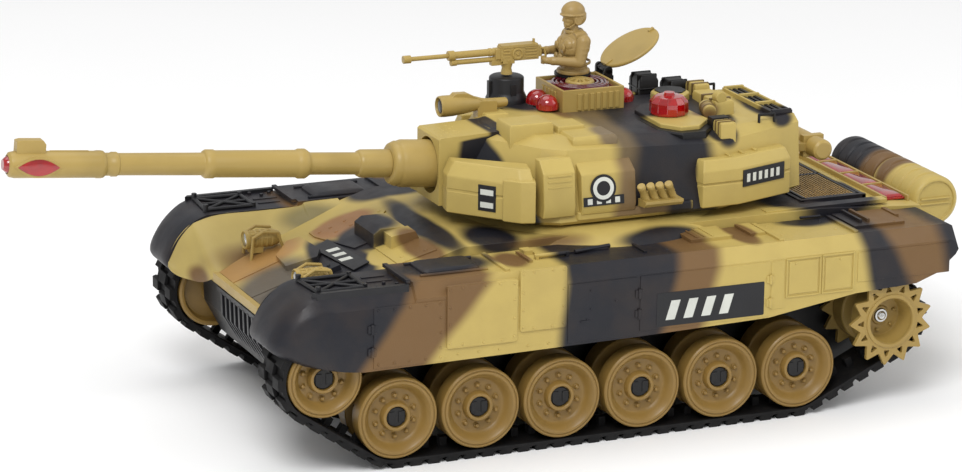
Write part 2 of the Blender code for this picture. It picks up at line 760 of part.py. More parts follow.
def gun():
    """Mantlet, barrel and muzzle lens, all carried on the trunnion."""
    collar = [(0.0, -9.0), (9.0, -9.0), (11.0, -4.0), (11.0, 5.0), (10.9, 22.0), (9.0, 27.0), (0.0, 27.0)]
    finish("gun_mantlet", along_gun(collar, 20), sand(), TRUNNION)
    length = GUN_LENGTH
    profile = [(0.0, 27.3), (6.5, 27.3), (6.5, 42.0), (5.15, 42.5), (5.15, 70.0), (6.3, 70.5)]
    profile += [(6.3, 117.0), (5.15, 117.5), (5.15, 168.0), (6.2, 168.5), (6.2, length - 5.0)]
    profile += [(4.6, length - 2.5), (0.0, length - 2.5)]
    barrel = finish("gun_barrel", along_gun(profile), sand(), TRUNNION)
    sight = gun_tilted(box(-2.6, 2.6, -length + 19.0, -length + 6.0, 5.0, 11.5))
    bmesh.ops.translate(sight, vec=TRUNNION, verts=sight.verts)
    boolean(barrel, [sight], "UNION")
    lens = [(0.0, length - 2.2), (3.6, length - 2.2), (2.6, length), (0.0, length)]
    finish("muzzle_lens", along_gun(lens, 12), red_lens(), TRUNNION)


# --------------------------------------------------------------- roof fittings


def machine_gun():
    """The heavy machine gun: a dark pedestal, and the gun with its post on top of it."""
    x, y, z = MG_PIVOT
    roof = roof_z(y)
    foot = roof - 3.5
    profile = [(0.0, foot), (PEDESTAL_RADIUS, foot), (PEDESTAL_RADIUS, roof + 3.0), (8.4, roof + 4.5)]
    profile += [(8.4, z - 0.6), (0.0, z - 0.6)]
    finish("machine_gun_pedestal", lathe(profile, 20, "z", (x, y, 0)), slate())
    post = lathe([(0.0, 0.0), (2.2, 0.0), (1.8, 8.0), (0.0, 8.0)], 10, "z")
    made = finish("machine_gun", post, sand(), MG_PIVOT)
    top = z + 7.0
    parts = [
        box(x - 3.0, x + 3.0, y - 4.0, y + 16.0, top, top + 7.0),
        rod(1.6, (x, y - 3.0, top + 4.0), 23.0, "y", 8),
        rod(1.0, (x, y - 25.0, top + 4.0), 28.0, "y", 8),
        rod(3.6, (x + 2.5, y + 6.0, top + 3.4), 5.0, "x", 12),
        box(x - 2.0, x + 2.0, y + 15.0, y + 18.0, top + 1.0, top + 5.0),
    ]
    return boolean(made, parts, "UNION")


def signal_box():
    """The ribbed box on the roof and the spoked cover over its speaker opening."""
    x, y = BOX_CENTRE
    half = BOX_HALF
    base = roof_z(y) - 3.0
    made = finish("signal_box", box(x - half, x + half, y - half, y + half, base, BOX_TOP_Z), sand())
    well = prism_z(circle(12.6, 24, (x, y)), BOX_TOP_Z - 2.0, BOX_TOP_Z + 2.0)
    boolean(made, [well], "DIFFERENCE")
    ring = [(7.2, 0.0), (12.3, 0.0), (12.3, 2.2), (7.2, 2.2)]
    purple = material("purple_lens", (0.35, 0.05, 0.1), 0.15)
    finish("light_ring", lathe(ring, 24, "z"), purple, (x, y, BOX_TOP_Z - 1.7))
    cover = [(0.0, 0.0), (6.9, 0.0), (6.9, 2.4), (4.0, 3.6), (0.0, 3.6)]
    finish("fan_cover", lathe(cover, 20, "z"), sand(), (x, y, BOX_TOP_Z - 1.7))


def dome(name, x, y, z, radius):
    """A clear red warning dome."""
    profile = [(0.0, 0.0), (radius, 0.0), (radius, 2.0)]
    profile += [(radius * cos(a), 2.0 + radius * sin(a)) for a in (pi / 6, pi / 3)]
    profile += [(0.0, 2.0 + radius * sin(pi / 3))]
    return finish(name, lathe(profile, 12, "z"), red_lens(), (x, y, z))


def hatch():
    """The open round hatch lid; it turns on the hinge pin's axis."""
    x, y, z = LID_HINGE
    turn = Matrix.Rotation(radians(LID_TILT), 4, "X")
    disc = circle(LID_RADIUS, 28, (0.0, LID_RADIUS + 0.6))
    lid = prism_z([(px, max(py, 2.2)) for px, py in disc], 0.0, 2.0)
    bmesh.ops.remove_doubles(lid, verts=lid.verts, dist=0.01)
    bmesh.ops.transform(lid, matrix=turn, verts=lid.verts)
    made = finish("hatch_lid", lid, sand(), LID_HINGE)
    arm = box(-4.0, 4.0, -1.4, 6.0, -0.6, 1.6)
    bmesh.ops.transform(arm, matrix=turn, verts=arm.verts)
    bmesh.ops.translate(arm, vec=LID_HINGE, verts=arm.verts)
    boolean(made, [arm], "UNION")
    block = box(x - 6.0, x + 6.0, y - 2.6, y + 2.6, roof_z(y) - 6.0, z - 2.2)
    finish("hatch_hinge_block", block, slate())


def figure():
    """The commander, seen from the waist up on the spoked cover, with both arms forward."""
    x, y, z = -38.0, 63.5, BOX_TOP_Z + 2.2
    torso = [(0.0, 0.0), (7.6, 0.0), (7.6, 8.0), (9.4, 16.0), (7.6, 20.5), (3.2, 23.0), (0.0, 23.0)]
    made = finish("commander_figure", lathe(torso, 12), sand(), (x, y, z))
    helmeted = [(0.0, 0.0), (2.6, 0.0), (4.2, 4.0), (4.4, 8.0), (5.4, 8.5), (4.6, 12.0), (2.4, 14.0)]
    head = lathe(helmeted + [(0.0, 14.0)], 12)
    bmesh.ops.translate(head, vec=(x, y - 0.5, z + 21.5), verts=head.verts)
    parts = [head]
    for _, hand in HANDS:
        start = Vector((side(6.5, hand), -1.0, 17.0))
        end = Vector((side(3.2, hand) - 6.0, -9.5, 9.5))
        run = end - start
        arm = lathe([(0.0, 0.0), (2.2, 0.0), (1.8, run.length), (0.0, run.length)], 8)
        turn = Vector((0, 0, 1)).rotation_difference(run).to_matrix().to_4x4()
        bmesh.ops.transform(arm, matrix=Matrix.Translation(start) @ turn, verts=arm.verts)
        bmesh.ops.translate(arm, vec=(x, y, z), verts=arm.verts)
        parts.append(arm)
    return boolean(made, parts, "UNION")


def smoke_launcher(name, hand):
    """Four short launcher tubes on a shelf bolted to the turret's side."""
    x0, x1 = span(52.6, 61.0, hand)
    made = finish(name, box(x0, x1, 56.0, 75.0, 101.0, 103.4), sand())
    tubes = []
    for i in range(4):
        y = 58.6 + 4.6 * i
        tube = lathe([(0.0, -1.0), (2.0, -1.0), (2.0, 10.0), (0.0, 10.0)], 10, "z")
        lean = Matrix.Rotation(radians(side(22.0, hand)), 4, "Y")
        bmesh.ops.transform(tube, matrix=lean, verts=tube.verts)
        bmesh.ops.translate(tube, vec=(side(56.4, hand), y, 103.0), verts=tube.verts)
        tubes.append(tube)
    return boolean(made, tubes, "UNION")


def snorkel():
    """The wading tube carried across the back of the bustle on two short arms."""
    y, z = 163.0, 111.0
    profile = [(0.0, -32.0), (5.0, -32.0), (5.0, 32.0), (0.0, 32.0)]
    made = finish("snorkel_tube", lathe(profile, 14, "x", (0, y, z)), sand())
    arms = [box(x - 3.0, x + 3.0, 151.0 + 1.2, y - 2.0, z - 2.0, z + 2.0) for x in (-20.0, 20.0)]
    return boolean(made, arms, "UNION")


def searchlight():
    """The gun's searchlight in its tapered housing."""
    x, y, z = SEARCHLIGHT
    profile = [(0.0, -16.0), (3.0, -16.0), (5.0, -6.0), (6.0, 7.0), (5.6, 9.0), (0.0, 9.0)]
    made = finish("searchlight", lathe(profile, 16, "y", (x, y, z)), sand())
    foot = box(x - 3.0, x + 3.0, y + 10.0, y + 20.0, roof_z(y + 15.0) - 2.4, z + 2.0)
    return boolean(made, [foot], "UNION")


def roof_fittings():
    """Everything that stands on the turret."""
    machine_gun()
    signal_box()
    hatch()
    figure()
    searchlight()
    snorkel()
    bx, by = BEACON_CENTRE
    beacon = [(0.0, 0.0), (8.6, 0.0), (9.0, 5.0), (6.4, 8.6), (2.4, 8.6), (2.0, 10.6), (0.0, 10.6)]
    finish("beacon_lens", lathe(beacon, 8, "z"), red_lens(), (bx, by, PLATE_TOP_Z + GAP))
    front = BOX_CENTRE[1] - BOX_HALF - 5.4
    rear = BOX_CENTRE[1] + BOX_HALF + 5.4
    for number, (x, y) in enumerate(((-29.5, front), (-17.5, front), (-25.0, rear)), start=1):
        dome(f"warning_dome_{number}", x, y, roof_z(y) + 1.0, 4.6)
    for hand_name, hand in HANDS:
        smoke_launcher(f"{hand_name}_smoke_launcher", hand)


def turret():
    """The turret with its gun and everything on its roof."""
    turret_shell()
    turret_base()
    turret_motor()
    gun()
    roof_fittings()


def main():
    for old in list(bpy.data.objects):
        bpy.data.objects.remove(old, do_unlink=True)
    upper_hull()
    lower_hull()
    floor_fittings()
    inner_works()
    hull_fittings()
    running_gear()
    turret()


main()
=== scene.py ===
from math import cos, hypot, pi, radians, sin, sqrt

import bmesh
import bpy
from mathutils import Matrix, Vector


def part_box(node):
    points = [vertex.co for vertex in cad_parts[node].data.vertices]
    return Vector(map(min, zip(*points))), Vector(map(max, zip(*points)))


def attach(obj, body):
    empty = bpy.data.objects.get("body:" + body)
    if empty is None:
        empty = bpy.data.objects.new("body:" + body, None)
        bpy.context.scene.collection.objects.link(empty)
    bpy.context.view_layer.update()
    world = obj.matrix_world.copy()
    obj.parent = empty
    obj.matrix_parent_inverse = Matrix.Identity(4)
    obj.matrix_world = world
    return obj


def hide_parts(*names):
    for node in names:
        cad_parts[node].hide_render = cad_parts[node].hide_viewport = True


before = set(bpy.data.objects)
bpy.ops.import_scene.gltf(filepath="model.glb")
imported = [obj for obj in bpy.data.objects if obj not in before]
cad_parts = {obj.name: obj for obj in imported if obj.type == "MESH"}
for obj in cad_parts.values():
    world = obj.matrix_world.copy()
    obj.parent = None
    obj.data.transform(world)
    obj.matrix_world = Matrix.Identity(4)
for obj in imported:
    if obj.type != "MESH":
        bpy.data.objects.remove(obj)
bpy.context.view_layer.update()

# Lengths are in millimetres until a mesh is made. The gun points along -Y, the tank's left is +X.
MM = 0.001
HANDS = (("left", 1), ("right", -1))


class Box:
    """Where a CAD node lies, in millimetres."""

    def __init__(self, node):
        low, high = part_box(node)
        self.x0, self.y0, self.z0 = (v / MM for v in low)
        self.x1, self.y1, self.z1 = (v / MM for v in high)
        self.cx, self.cy, self.cz = ((a + b) / 2 for a, b in zip(self.low(), self.high()))

    def low(self):
        return self.x0, self.y0, self.z0

    def high(self):
        return self.x1, self.y1, self.z1


# ------------------------------------------------------------------- materials


def srgb(red, green, blue):
    """A screen colour of 0 to 255 as linear light."""
    return tuple(((v / 255 + 0.055) / 1.055) ** 2.4 if v > 10 else v / 3295 for v in (red, green, blue))


SAND = srgb(182, 160, 90)
BROWN = srgb(110, 82, 48)
SLATE = srgb(24, 25, 32)


class Nodes:
    """A material's node tree with the few building blocks that the paints share."""

    def __init__(self, name):
        self.material = bpy.data.materials.new(name)
        self.material.use_nodes = True
        self.tree = self.material.node_tree
        self.shader = self.tree.nodes["Principled BSDF"]
        self.place = self.add("ShaderNodeTexCoord").outputs["Object"]

    def add(self, kind, **settings):
        node = self.tree.nodes.new(kind)
        for key, value in settings.items():
            setattr(node, key, value)
        return node

    def link(self, source, target):
        self.tree.links.new(source, target)

    def noise(self, scale, detail=2, roughness=0.5):
        node = self.add("ShaderNodeTexNoise")
        node.inputs["Scale"].default_value = scale
        node.inputs["Detail"].default_value = detail
        node.inputs["Roughness"].default_value = roughness
        self.link(self.place, node.inputs["Vector"])
        return node

    def ramp(self, value, low, high, out_low=0, out_high=1):
        node = self.add("ShaderNodeMapRange", interpolation_type="SMOOTHSTEP")
        for key, number in (("From Min", low), ("From Max", high), ("To Min", out_low), ("To Max", out_high)):
            node.inputs[key].default_value = number
        self.link(value, node.inputs["Value"])
        return node.outputs["Result"]

    def mix(self, factor, first, second):
        """Mix two colours, each a tuple or a socket."""
        node = self.add("ShaderNodeMix", data_type="RGBA")
        self.link(factor, node.inputs[0])
        for socket, colour in ((node.inputs[6], first), (node.inputs[7], second)):
            if isinstance(colour, tuple):
                socket.default_value = (*colour, 1)
            else:
                self.link(colour, socket)
        return node.outputs[2]

    def surface(self, roughness, spread, grain_scale, grain):
        """Roughness that varies a little and a fine moulded grain."""
        patches = self.noise(90, 3)
        self.link(
            self.ramp(patches.outputs["Fac"], 0.3, 0.7, roughness - spread, roughness + spread),
            self.shader.inputs["Roughness"],
        )
        bump = self.add("ShaderNodeBump")
        bump.inputs["Strength"].default_value = grain
        bump.inputs["Distance"].default_value = 0.0002
        self.link(self.noise(grain_scale, 3, 0.6).outputs["Fac"], bump.inputs["Height"])
        self.link(bump.outputs["Normal"], self.shader.inputs["Normal"])


def darker(colour, share):
    return tuple(v * share for v in colour)


def plastic(name, colour, roughness=0.42, grain=0.25, shade=0.82, metallic=0):
    """Moulded plastic: an even colour with soft darker patches and a fine grain."""
    made = Nodes(name)
    patches = made.noise(35, 3)
    soft = made.ramp(patches.outputs["Fac"], 0.42, 0.78)
    made.link(made.mix(soft, colour, darker(colour, shade)), made.shader.inputs["Base Color"])
    made.surface(roughness, 0.05, 1400, grain)
    made.shader.inputs["Metallic"].default_value = metallic
    made.shader.inputs["Specular IOR Level"].default_value = 0.38
    return made.material


def rubber(name):
    """Soft black plastic with dusty high spots."""
    made = Nodes(name)
    dust = made.ramp(made.noise(160, 4).outputs["Fac"], 0.45, 0.8)
    made.link(made.mix(dust, srgb(9, 8, 9), srgb(20, 19, 19)), made.shader.inputs["Base Color"])
    made.surface(0.68, 0.08, 900, 0.5)
    made.shader.inputs["Specular IOR Level"].default_value = 0.3
    return made.material


def lens(name, colour, roughness=0.08):
    """Clear coloured plastic, lit from inside by what passes through it."""
    made = Nodes(name)
    depth = made.ramp(made.noise(120, 2).outputs["Fac"], 0.3, 0.7)
    made.link(made.mix(depth, colour, darker(colour, 0.6)), made.shader.inputs["Base Color"])
    made.shader.inputs["Roughness"].default_value = roughness
    made.shader.inputs["IOR"].default_value = 1.5
    made.shader.inputs["Transmission Weight"].default_value = 0.2
    made.shader.inputs["Coat Weight"].default_value = 1
    made.shader.inputs["Coat Roughness"].default_value = 0.03
    return made.material


def bright_metal(name, colour=srgb(200, 200, 198), roughness=0.22):
    """Plated metal with faint marks."""
    made = Nodes(name)
    marks = made.ramp(made.noise(300, 4).outputs["Fac"], 0.4, 0.8)
    made.link(made.mix(marks, colour, darker(colour, 0.7)), made.shader.inputs["Base Color"])
    made.surface(roughness, 0.06, 2500, 0.15)
    made.shader.inputs["Metallic"].default_value = 1
    return made.material


def sprayed(name, base, layers, wobble=5):
    """Camouflage over moulded plastic, with some layers used as painted shade. Each layer is a colour laid
    over what is under it.

    ("cut", point, normal, width, colour) covers everything on the normal's side of a plane.
    ("blob", centre, radii, softness, colour) covers an ellipsoid.
    """
    made = Nodes(name)
    wander = made.noise(22, 2)
    shift = made.add("ShaderNodeVectorMath", operation="MULTIPLY_ADD")
    made.link(wander.outputs["Color"], shift.inputs[0])
    shift.inputs[1].default_value = (wobble * MM * 2,) * 3
    shift.inputs[2].default_value = (-wobble * MM,) * 3
    moved = made.add("ShaderNodeVectorMath", operation="ADD")
    made.link(made.place, moved.inputs[0])
    made.link(shift.outputs[0], moved.inputs[1])
    colour = base
    for kind, point, extent, soft, paint in layers:
        away = made.add("ShaderNodeVectorMath", operation="SUBTRACT")
        made.link(moved.outputs[0], away.inputs[0])
        away.inputs[1].default_value = Vector(point) * MM
        if kind == "cut":
            dot = made.add("ShaderNodeVectorMath", operation="DOT_PRODUCT")
            made.link(away.outputs[0], dot.inputs[0])
            dot.inputs[1].default_value = Vector(extent).normalized()
            mask = made.ramp(dot.outputs["Value"], -soft * MM / 2, soft * MM / 2)
        else:
            scaled = made.add("ShaderNodeVectorMath", operation="DIVIDE")
            made.link(away.outputs[0], scaled.inputs[0])
            scaled.inputs[1].default_value = Vector(extent) * MM
            length = made.add("ShaderNodeVectorMath", operation="LENGTH")
            made.link(scaled.outputs[0], length.inputs[0])
            mask = made.ramp(length.outputs["Value"], 1 - soft / 2, 1 + soft / 2, 1, 0)
        colour = made.mix(mask, colour, paint)
    tint = made.ramp(made.noise(60, 4).outputs["Fac"], 0.35, 0.75, 0, 0.1)
    made.link(made.mix(tint, colour, srgb(96, 74, 50)), made.shader.inputs["Base Color"])
    made.surface(0.45, 0.06, 1500, 0.3)
    made.shader.inputs["Specular IOR Level"].default_value = 0.35
    return made.material


# ----------------------------------------------------------------------- shapes


def box(x0, x1, y0, y1, z0, z1):
    """A rectangular block."""
    bm = bmesh.new()
    bmesh.ops.create_cube(bm, size=1)
    bmesh.ops.scale(bm, vec=(x1 - x0, y1 - y0, z1 - z0), verts=bm.verts)
    bmesh.ops.translate(bm, vec=((x0 + x1) / 2, (y0 + y1) / 2, (z0 + z1) / 2), verts=bm.verts)
    return bm


def loft(loops, closed=False, skip=()):
    """Skin a row of equally long point loops, leaving out the strips listed in skip."""
    bm = bmesh.new()
    rows = [[bm.verts.new(point) for point in loop] for loop in loops]
    pairs = list(zip(rows, rows[1:] + ([rows[0]] if closed else [])))
    count = len(rows[0])
    for first, second in pairs:
        for i in range(count):
            if i not in skip:
                j = (i + 1) % count
                bm.faces.new((first[i], first[j], second[j], second[i]))
    if not closed:
        bm.faces.new(rows[0][::-1])
        bm.faces.new(rows[-1])
    return bm


def rectangle(x0, x1, y0, y1):
    return [(x0, y0), (x1, y0), (x1, y1), (x0, y1)]


def flat(outline, z):
    return [(x, y, z) for x, y in outline]


def shrunk(outline, share, middle=(0, 60)):
    cx, cy = middle
    return [(cx + (x - cx) * share, cy + (y - cy) * share) for x, y in outline]


def prism(outline, axis, low, high):
    """Push a flat outline along an axis: (y, z) along X, (x, z) along Y or (x, y) along Z."""
    orders = {"x": lambda a, b, h: (h, a, b), "y": lambda a, b, h: (a, h, b), "z": lambda a, b, h: (a, b, h)}
    place = orders[axis]
    return loft([[place(a, b, h) for a, b in outline] for h in (low, high)])


AXES = {
    "x": Matrix(((0, 0, 1), (1, 0, 0), (0, 1, 0))).to_4x4(),
    "y": Matrix(((1, 0, 0), (0, 0, -1), (0, 1, 0))).to_4x4(),
    "z": Matrix.Identity(4),
}


def moved(bm, matrix):
    bmesh.ops.transform(bm, matrix=matrix, verts=bm.verts)
    return bm


def aimed(bm, foot, direction):
    """Turn a shape from +Z to a direction and stand it on a point."""
    turn = Vector((0, 0, 1)).rotation_difference(Vector(direction)).to_matrix().to_4x4()
    return moved(bm, Matrix.Translation(foot) @ turn)


def turned(profile, axis="z", centre=(0, 0, 0), count=48):
    """Turn a (radius, height) profile; heights run to +X, -Y (forward) or +Z."""
    on_axis = profile[0][0] == 0 or profile[-1][0] == 0
    body = [p for p in profile if p[0] > 0]
    turn = 2 * pi / count
    loops = [[(r * cos(i * turn), r * sin(i * turn), h) for i in range(count)] for r, h in body]
    return moved(loft(loops, closed=not on_axis), Matrix.Translation(centre) @ AXES[axis])


def rod(radius, start, end, count=12, tip=None):
    """A round bar between two points, tapered if tip is given."""
    start, end = Vector(start), Vector(end)
    run = end - start
    profile = [(0, 0), (radius, 0), (tip or radius, run.length), (0, run.length)]
    return aimed(turned(profile, count=count), start, run)


def ball(centre, radii, count=16, rings=10):
    """An ellipsoid."""
    bm = bmesh.new()
    bmesh.ops.create_uvsphere(bm, u_segments=count, v_segments=rings, radius=1)
    bmesh.ops.scale(bm, vec=radii, verts=bm.verts)
    bmesh.ops.translate(bm, vec=centre, verts=bm.verts)
    return bm


def wire(points, radius, count=8):
    """A bent round bar through points, with a ball at each bend."""
    parts = [rod(radius, a, b, count) for a, b in zip(points, points[1:])]
    return parts + [ball(p, (radius,) * 3, count, 6) for p in points[1:-1]]


def rivet(point, normal, radius=0.55):
    """A low domed rivet head."""
    head = [(0, -0.2), (radius, -0.2), (radius, 0.1), (radius * 0.7, 0.38), (0, 0.45)]
    return aimed(turned(head, count=10), point, normal)


def rivets(points, normal, radius):
    return [rivet(point, normal, radius) for point in points]


def between(p0, p1, p2, p3, t):
    """The point at share t of the way from p1 to p2, on a curve through all four (Catmull-Rom)."""
    return tuple(
        0.5 * (2 * b + (c - a) * t + (2 * a - 5 * b + 4 * c - d) * t**2 + (3 * b - a - 3 * c + d) * t**3)
        for a, b, c, d in zip(p0, p1, p2, p3)
    )


def curve_through(points, steps):
    """A smooth line through points, with steps on each stretch."""
    padded = [points[0]] + list(points) + [points[-1]]
    line = []
    for near in zip(padded, padded[1:], padded[2:], padded[3:]):
        line += [between(*near, s / steps) for s in range(steps)]
    return line + [tuple(points[-1])]


def mirrored(bm):
    """The same shape on the other side of the tank."""
    bmesh.ops.scale(bm, vec=(-1, 1, 1), verts=bm.verts)
    bmesh.ops.reverse_faces(bm, faces=bm.faces)
    return bm


def sided(bm, hand):
    return bm if hand > 0 else mirrored(bm)


def carved(solid, tools):
    """A solid with other solids cut out of it."""
    made = []
    for bm in [solid] + tools:
        bmesh.ops.recalc_face_normals(bm, faces=bm.faces)
        mesh = bpy.data.meshes.new("carving")
        bm.to_mesh(mesh)
        bm.free()
        made.append(bpy.data.objects.new("carving", mesh))
        bpy.context.collection.objects.link(made[-1])
    for tool in made[1:]:
        cut = made[0].modifiers.new("cut", "BOOLEAN")
        cut.operation = "DIFFERENCE"
        cut.solver = "EXACT"
        cut.object = tool
    bpy.context.view_layer.update()
    result = bmesh.new()
    result.from_object(made[0], bpy.context.evaluated_depsgraph_get())
    for old in made:
        bpy.data.objects.remove(old, do_unlink=True)
    return result


def piece(name, parts, look, body, replaces=(), bevel=0, sharp=35, hand=1):
    """Join shapes into one shown object that rides on a body; hand -1 puts it on the right."""
    mesh = bpy.data.meshes.new(name)
    joined = bmesh.new()
    for part in parts:
        sided(part, hand).to_mesh(mesh)
        part.free()
        joined.from_mesh(mesh)
    bmesh.ops.scale(joined, vec=(MM, MM, MM), verts=joined.verts)
    bmesh.ops.recalc_face_normals(joined, faces=joined.faces)
    joined.to_mesh(mesh)
    joined.free()
    mesh.shade_smooth()
    mesh.set_sharp_from_angle(angle=radians(sharp))
    mesh.materials.append(look)
    made = bpy.data.objects.new(name, mesh)
    bpy.context.collection.objects.link(made)
    if bevel:
        edge = made.modifiers.new("rounded_edges", "BEVEL")
        edge.width = bevel * MM
        edge.segments = 2
        edge.limit_method = "ANGLE"
        edge.angle_limit = radians(sharp)
        edge.harden_normals = True
    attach(made, body)
    if replaces:
        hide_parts(*replaces)
    return made


def repaint(look, *nodes):
    """Give carried-over CAD nodes their finish."""
    for name in nodes:
        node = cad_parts[name]
        node.data.materials.clear()
        node.data.materials.append(look)


# ------------------------------------------------------------------ running gear

WHEEL_FACE_X = 87.6
BELT_CLEARANCE = 0.7
DRUM_RADIUS = 15.6
LINKS = 78
BELT_LENGTH = 684
BELT_X = (61.5, 87.2)
GUIDE_X = 74.5
STATIONS = ["idler_wheel"] + [f"road_wheel_{i}" for i in range(1, 7)]
SPROCKET = Box("left_drive_sprocket")
TEETH = 13


def belt_line(count):
    """Equally spaced points on the belt's inner line, each with the outward direction there."""
    circles = [(SPROCKET.cy, SPROCKET.cz, DRUM_RADIUS + BELT_CLEARANCE)]
    for station in STATIONS:
        at = Box(f"left_{station}")
        circles.append((at.cy, at.cz, (at.z1 - at.z0) / 2 + BELT_CLEARANCE))
    dense = []
    steps = 2880
    for i in range(steps):
        a = 2 * pi * i / steps
        y, z, r = max(circles, key=lambda c: c[0] * cos(a) + c[1] * sin(a) + c[2])
        dense.append((y + r * cos(a), z + r * sin(a)))
    dense.append(dense[0])
    lengths = [0]
    for a, b in zip(dense, dense[1:]):
        lengths.append(lengths[-1] + hypot(b[0] - a[0], b[1] - a[1]))
    points = []
    k = 0
    for i in range(count):
        target = i * lengths[-1] / count
        while lengths[k + 1] < target:
            k += 1
        share = (target - lengths[k]) / max(lengths[k + 1] - lengths[k], 1e-9)
        points.append(Vector(dense[k]).lerp(Vector(dense[k + 1]), share))
    lines = []
    for i, point in enumerate(points):
        run = (points[(i + 1) % count] - points[i - 1]).normalized()
        lines.append((point, Vector((run.y, -run.x)), run))
    return lines


def link_block(x0, x1, half, low, high, line, taper=0):
    """A block on the belt, 2 x half long and from low to high above the inner line."""
    point, normal, run = line
    loops = []
    for x in (x0, x1):
        corners = ((-half, low), (half, low), (half - taper, high), (taper - half, high))
        loops.append([(x, *(point + run * along + normal * up)) for along, up in corners])
    return loft(loops)


def track(hand_name, hand):
    """A soft belt: a band, three staggered rows of brick pads outside and guide horns inside."""
    per_link = 6
    fine = belt_line(LINKS * per_link)
    x0, x1 = BELT_X
    loops = []
    for i, (point, normal, _) in enumerate(fine):
        ridge = 2.3 if i % per_link in (1, 2, 3, 4) else 1.7
        section = ((x0 + 0.4, 0), (x1 - 0.4, 0), (x1, 0.4), (x1, ridge), (x0, ridge), (x0, 0.4))
        loops.append([(x, *(point + normal * up)) for x, up in section])
    parts = [loft(loops, closed=True)]
    step = BELT_LENGTH / LINKS
    for i in range(LINKS):
        line = fine[(i * per_link + 2) % len(fine)]
        next_line = fine[(i * per_link + 5) % len(fine)]
        for a, b, where in ((x0, x0 + 7.6, line), (x0 + 8.4, x1 - 8.4, next_line), (x1 - 7.6, x1, line)):
            parts.append(link_block(a, b, step * 0.36, 2, 4, where, 0.5))
        parts.append(link_block(GUIDE_X - 2, GUIDE_X + 2, step * 0.2, -4.2, 0.3, line))
    name = f"{hand_name}_track"
    piece(f"{name}_belt", parts, RUBBER, "hull", [name], 0.25, hand=hand)


def wheel_profile(radius):
    """A dished wheel with a raised rim, a groove for the guide horns and a hub cup."""
    r = radius
    back, face = 60.5, WHEEL_FACE_X
    return [
        (3.3, back), (5.5, back), (6, back + 2), (r - 3.4, back + 3.4), (r - 2.2, back),
        (r - 1, back), (r, back + 0.8), (r, 70), (r - 0.6, 70.6), (r - 5.4, 71.4), (r - 5.4, 77.6),
        (r - 0.6, 78.5), (r, 79.3), (r, face - 0.7), (r - 0.6, face), (r - 1.2, face),
        (r - 1.35, face - 0.5), (r - 1.7, face - 0.5), (r - 1.85, face), (r - 2.9, face - 0.1),
        (r - 3.6, face - 0.8), (r - 5, face - 3.2), (r - 5.7, face - 4.6), (r - 6.4, face - 5.1),
        (r - 11.2, face - 5.3), (7, face - 5), (6.7, face - 2), (6.3, face - 1.4),
        (5.3, face - 1.3), (4.95, face - 1.6), (4.95, face - 3.2), (3.3, face - 3.2),
    ]


def wheel(hand_name, hand, station):
    """A free wheel with its ring of round bolts and the dark cap on its axle."""
    node = f"{hand_name}_{station}"
    at = Box(f"left_{station}")
    radius = (at.z1 - at.z0) / 2
    centre = (0, at.cy, at.cz)
    parts = [turned(wheel_profile(radius), "x", centre, 72)]
    bolts = 10
    for i in range(bolts):
        a = 2 * pi * (i + 0.5) / bolts
        y, z = at.cy + 9.6 * cos(a), at.cz + 9.6 * sin(a)
        foot = WHEEL_FACE_X - 5.4
        head = [(0, foot), (1.45, foot), (1.45, foot + 0.5), (1.05, foot + 0.7), (1, foot + 1.5)]
        parts.append(turned(head + [(0.6, foot + 1.9), (0, foot + 1.9)], "x", (0, y, z), 14))
    piece(f"{node}_disc", parts, WHEEL_SAND, node, [node], 0.15, 28, hand)
    face = WHEEL_FACE_X - 2.4
    cap = [(0, face - 1.4), (4.7, face - 1.4), (4.7, face - 0.3), (4.3, face), (1.1, face), (0, face)]
    caps = [turned(cap, "x", centre, 32)]
    for y in (at.cy - 2.45, at.cy + 2.45):
        caps.append(box(face - 0.3, face + 0.35, y - 1.5, y + 1.5, at.cz - 2.6, at.cz + 2.6))
    piece(f"{node}_cap", caps, GLOSS_BLACK, node, (), 0.2, hand=hand)


def sprocket_ring(x0, x1, inner, window=True):
    """A toothed ring with a small triangular window behind each tooth."""
    parts = []
    half = pi / TEETH
    root, tip = 16.6, 21.5
    for i in range(TEETH):
        middle = 2 * half * (i + 0.5)

        def polar(radius, turn, x):
            a = middle + turn
            return (x, SPROCKET.cy + radius * cos(a), SPROCKET.cz + radius * sin(a))

        arcs = [-half, -half * 0.5, 0, half * 0.5, half]
        rim = [(root, -half), (root + 0.6, -half * 0.8), (tip - 0.5, -half * 0.12), (tip, 0)]
        rim += [(tip - 0.5, half * 0.12), (root + 0.6, half * 0.8), (root, half)]
        hole = [(14.4, -0.105), (17.3, -0.02), (17.3, 0.02), (14.4, 0.105)]
        bm = bmesh.new()
        sheets = []
        for x in (x0, x1):
            outer = [bm.verts.new(polar(r, t, x)) for r, t in rim]
            inside = [bm.verts.new(polar(inner, t, x)) for t in arcs]
            if window:
                gap = [bm.verts.new(polar(r, t, x)) for r, t in hole]
                bm.faces.new(outer[:4] + [gap[2], gap[1], gap[0], inside[1], inside[0]])
                bm.faces.new(outer[3:] + [inside[4], inside[3], gap[3], gap[2]])
                bm.faces.new([gap[0], inside[1], inside[2], inside[3], gap[3]])
            else:
                gap = []
                bm.faces.new(outer + inside[::-1])
            sheets.append((outer, inside, gap))
        (o0, i0, g0), (o1, i1, g1) = sheets
        for k in range(len(rim) - 1):
            bm.faces.new((o0[k], o0[k + 1], o1[k + 1], o1[k]))
        for k in range(len(arcs) - 1):
            bm.faces.new((i0[k], i0[k + 1], i1[k + 1], i1[k]))
        if window:
            for k in range(4):
                m = (k + 1) % 4
                bm.faces.new((g0[k], g0[m], g1[m], g1[k]))
        parts.append(bm)
    joined = bmesh.new()
    holder = bpy.data.meshes.new("sprocket_ring")
    for part in parts:
        part.to_mesh(holder)
        part.free()
        joined.from_mesh(holder)
    bpy.data.meshes.remove(holder)
    bmesh.ops.remove_doubles(joined, verts=joined.verts, dist=0.01)
    return joined


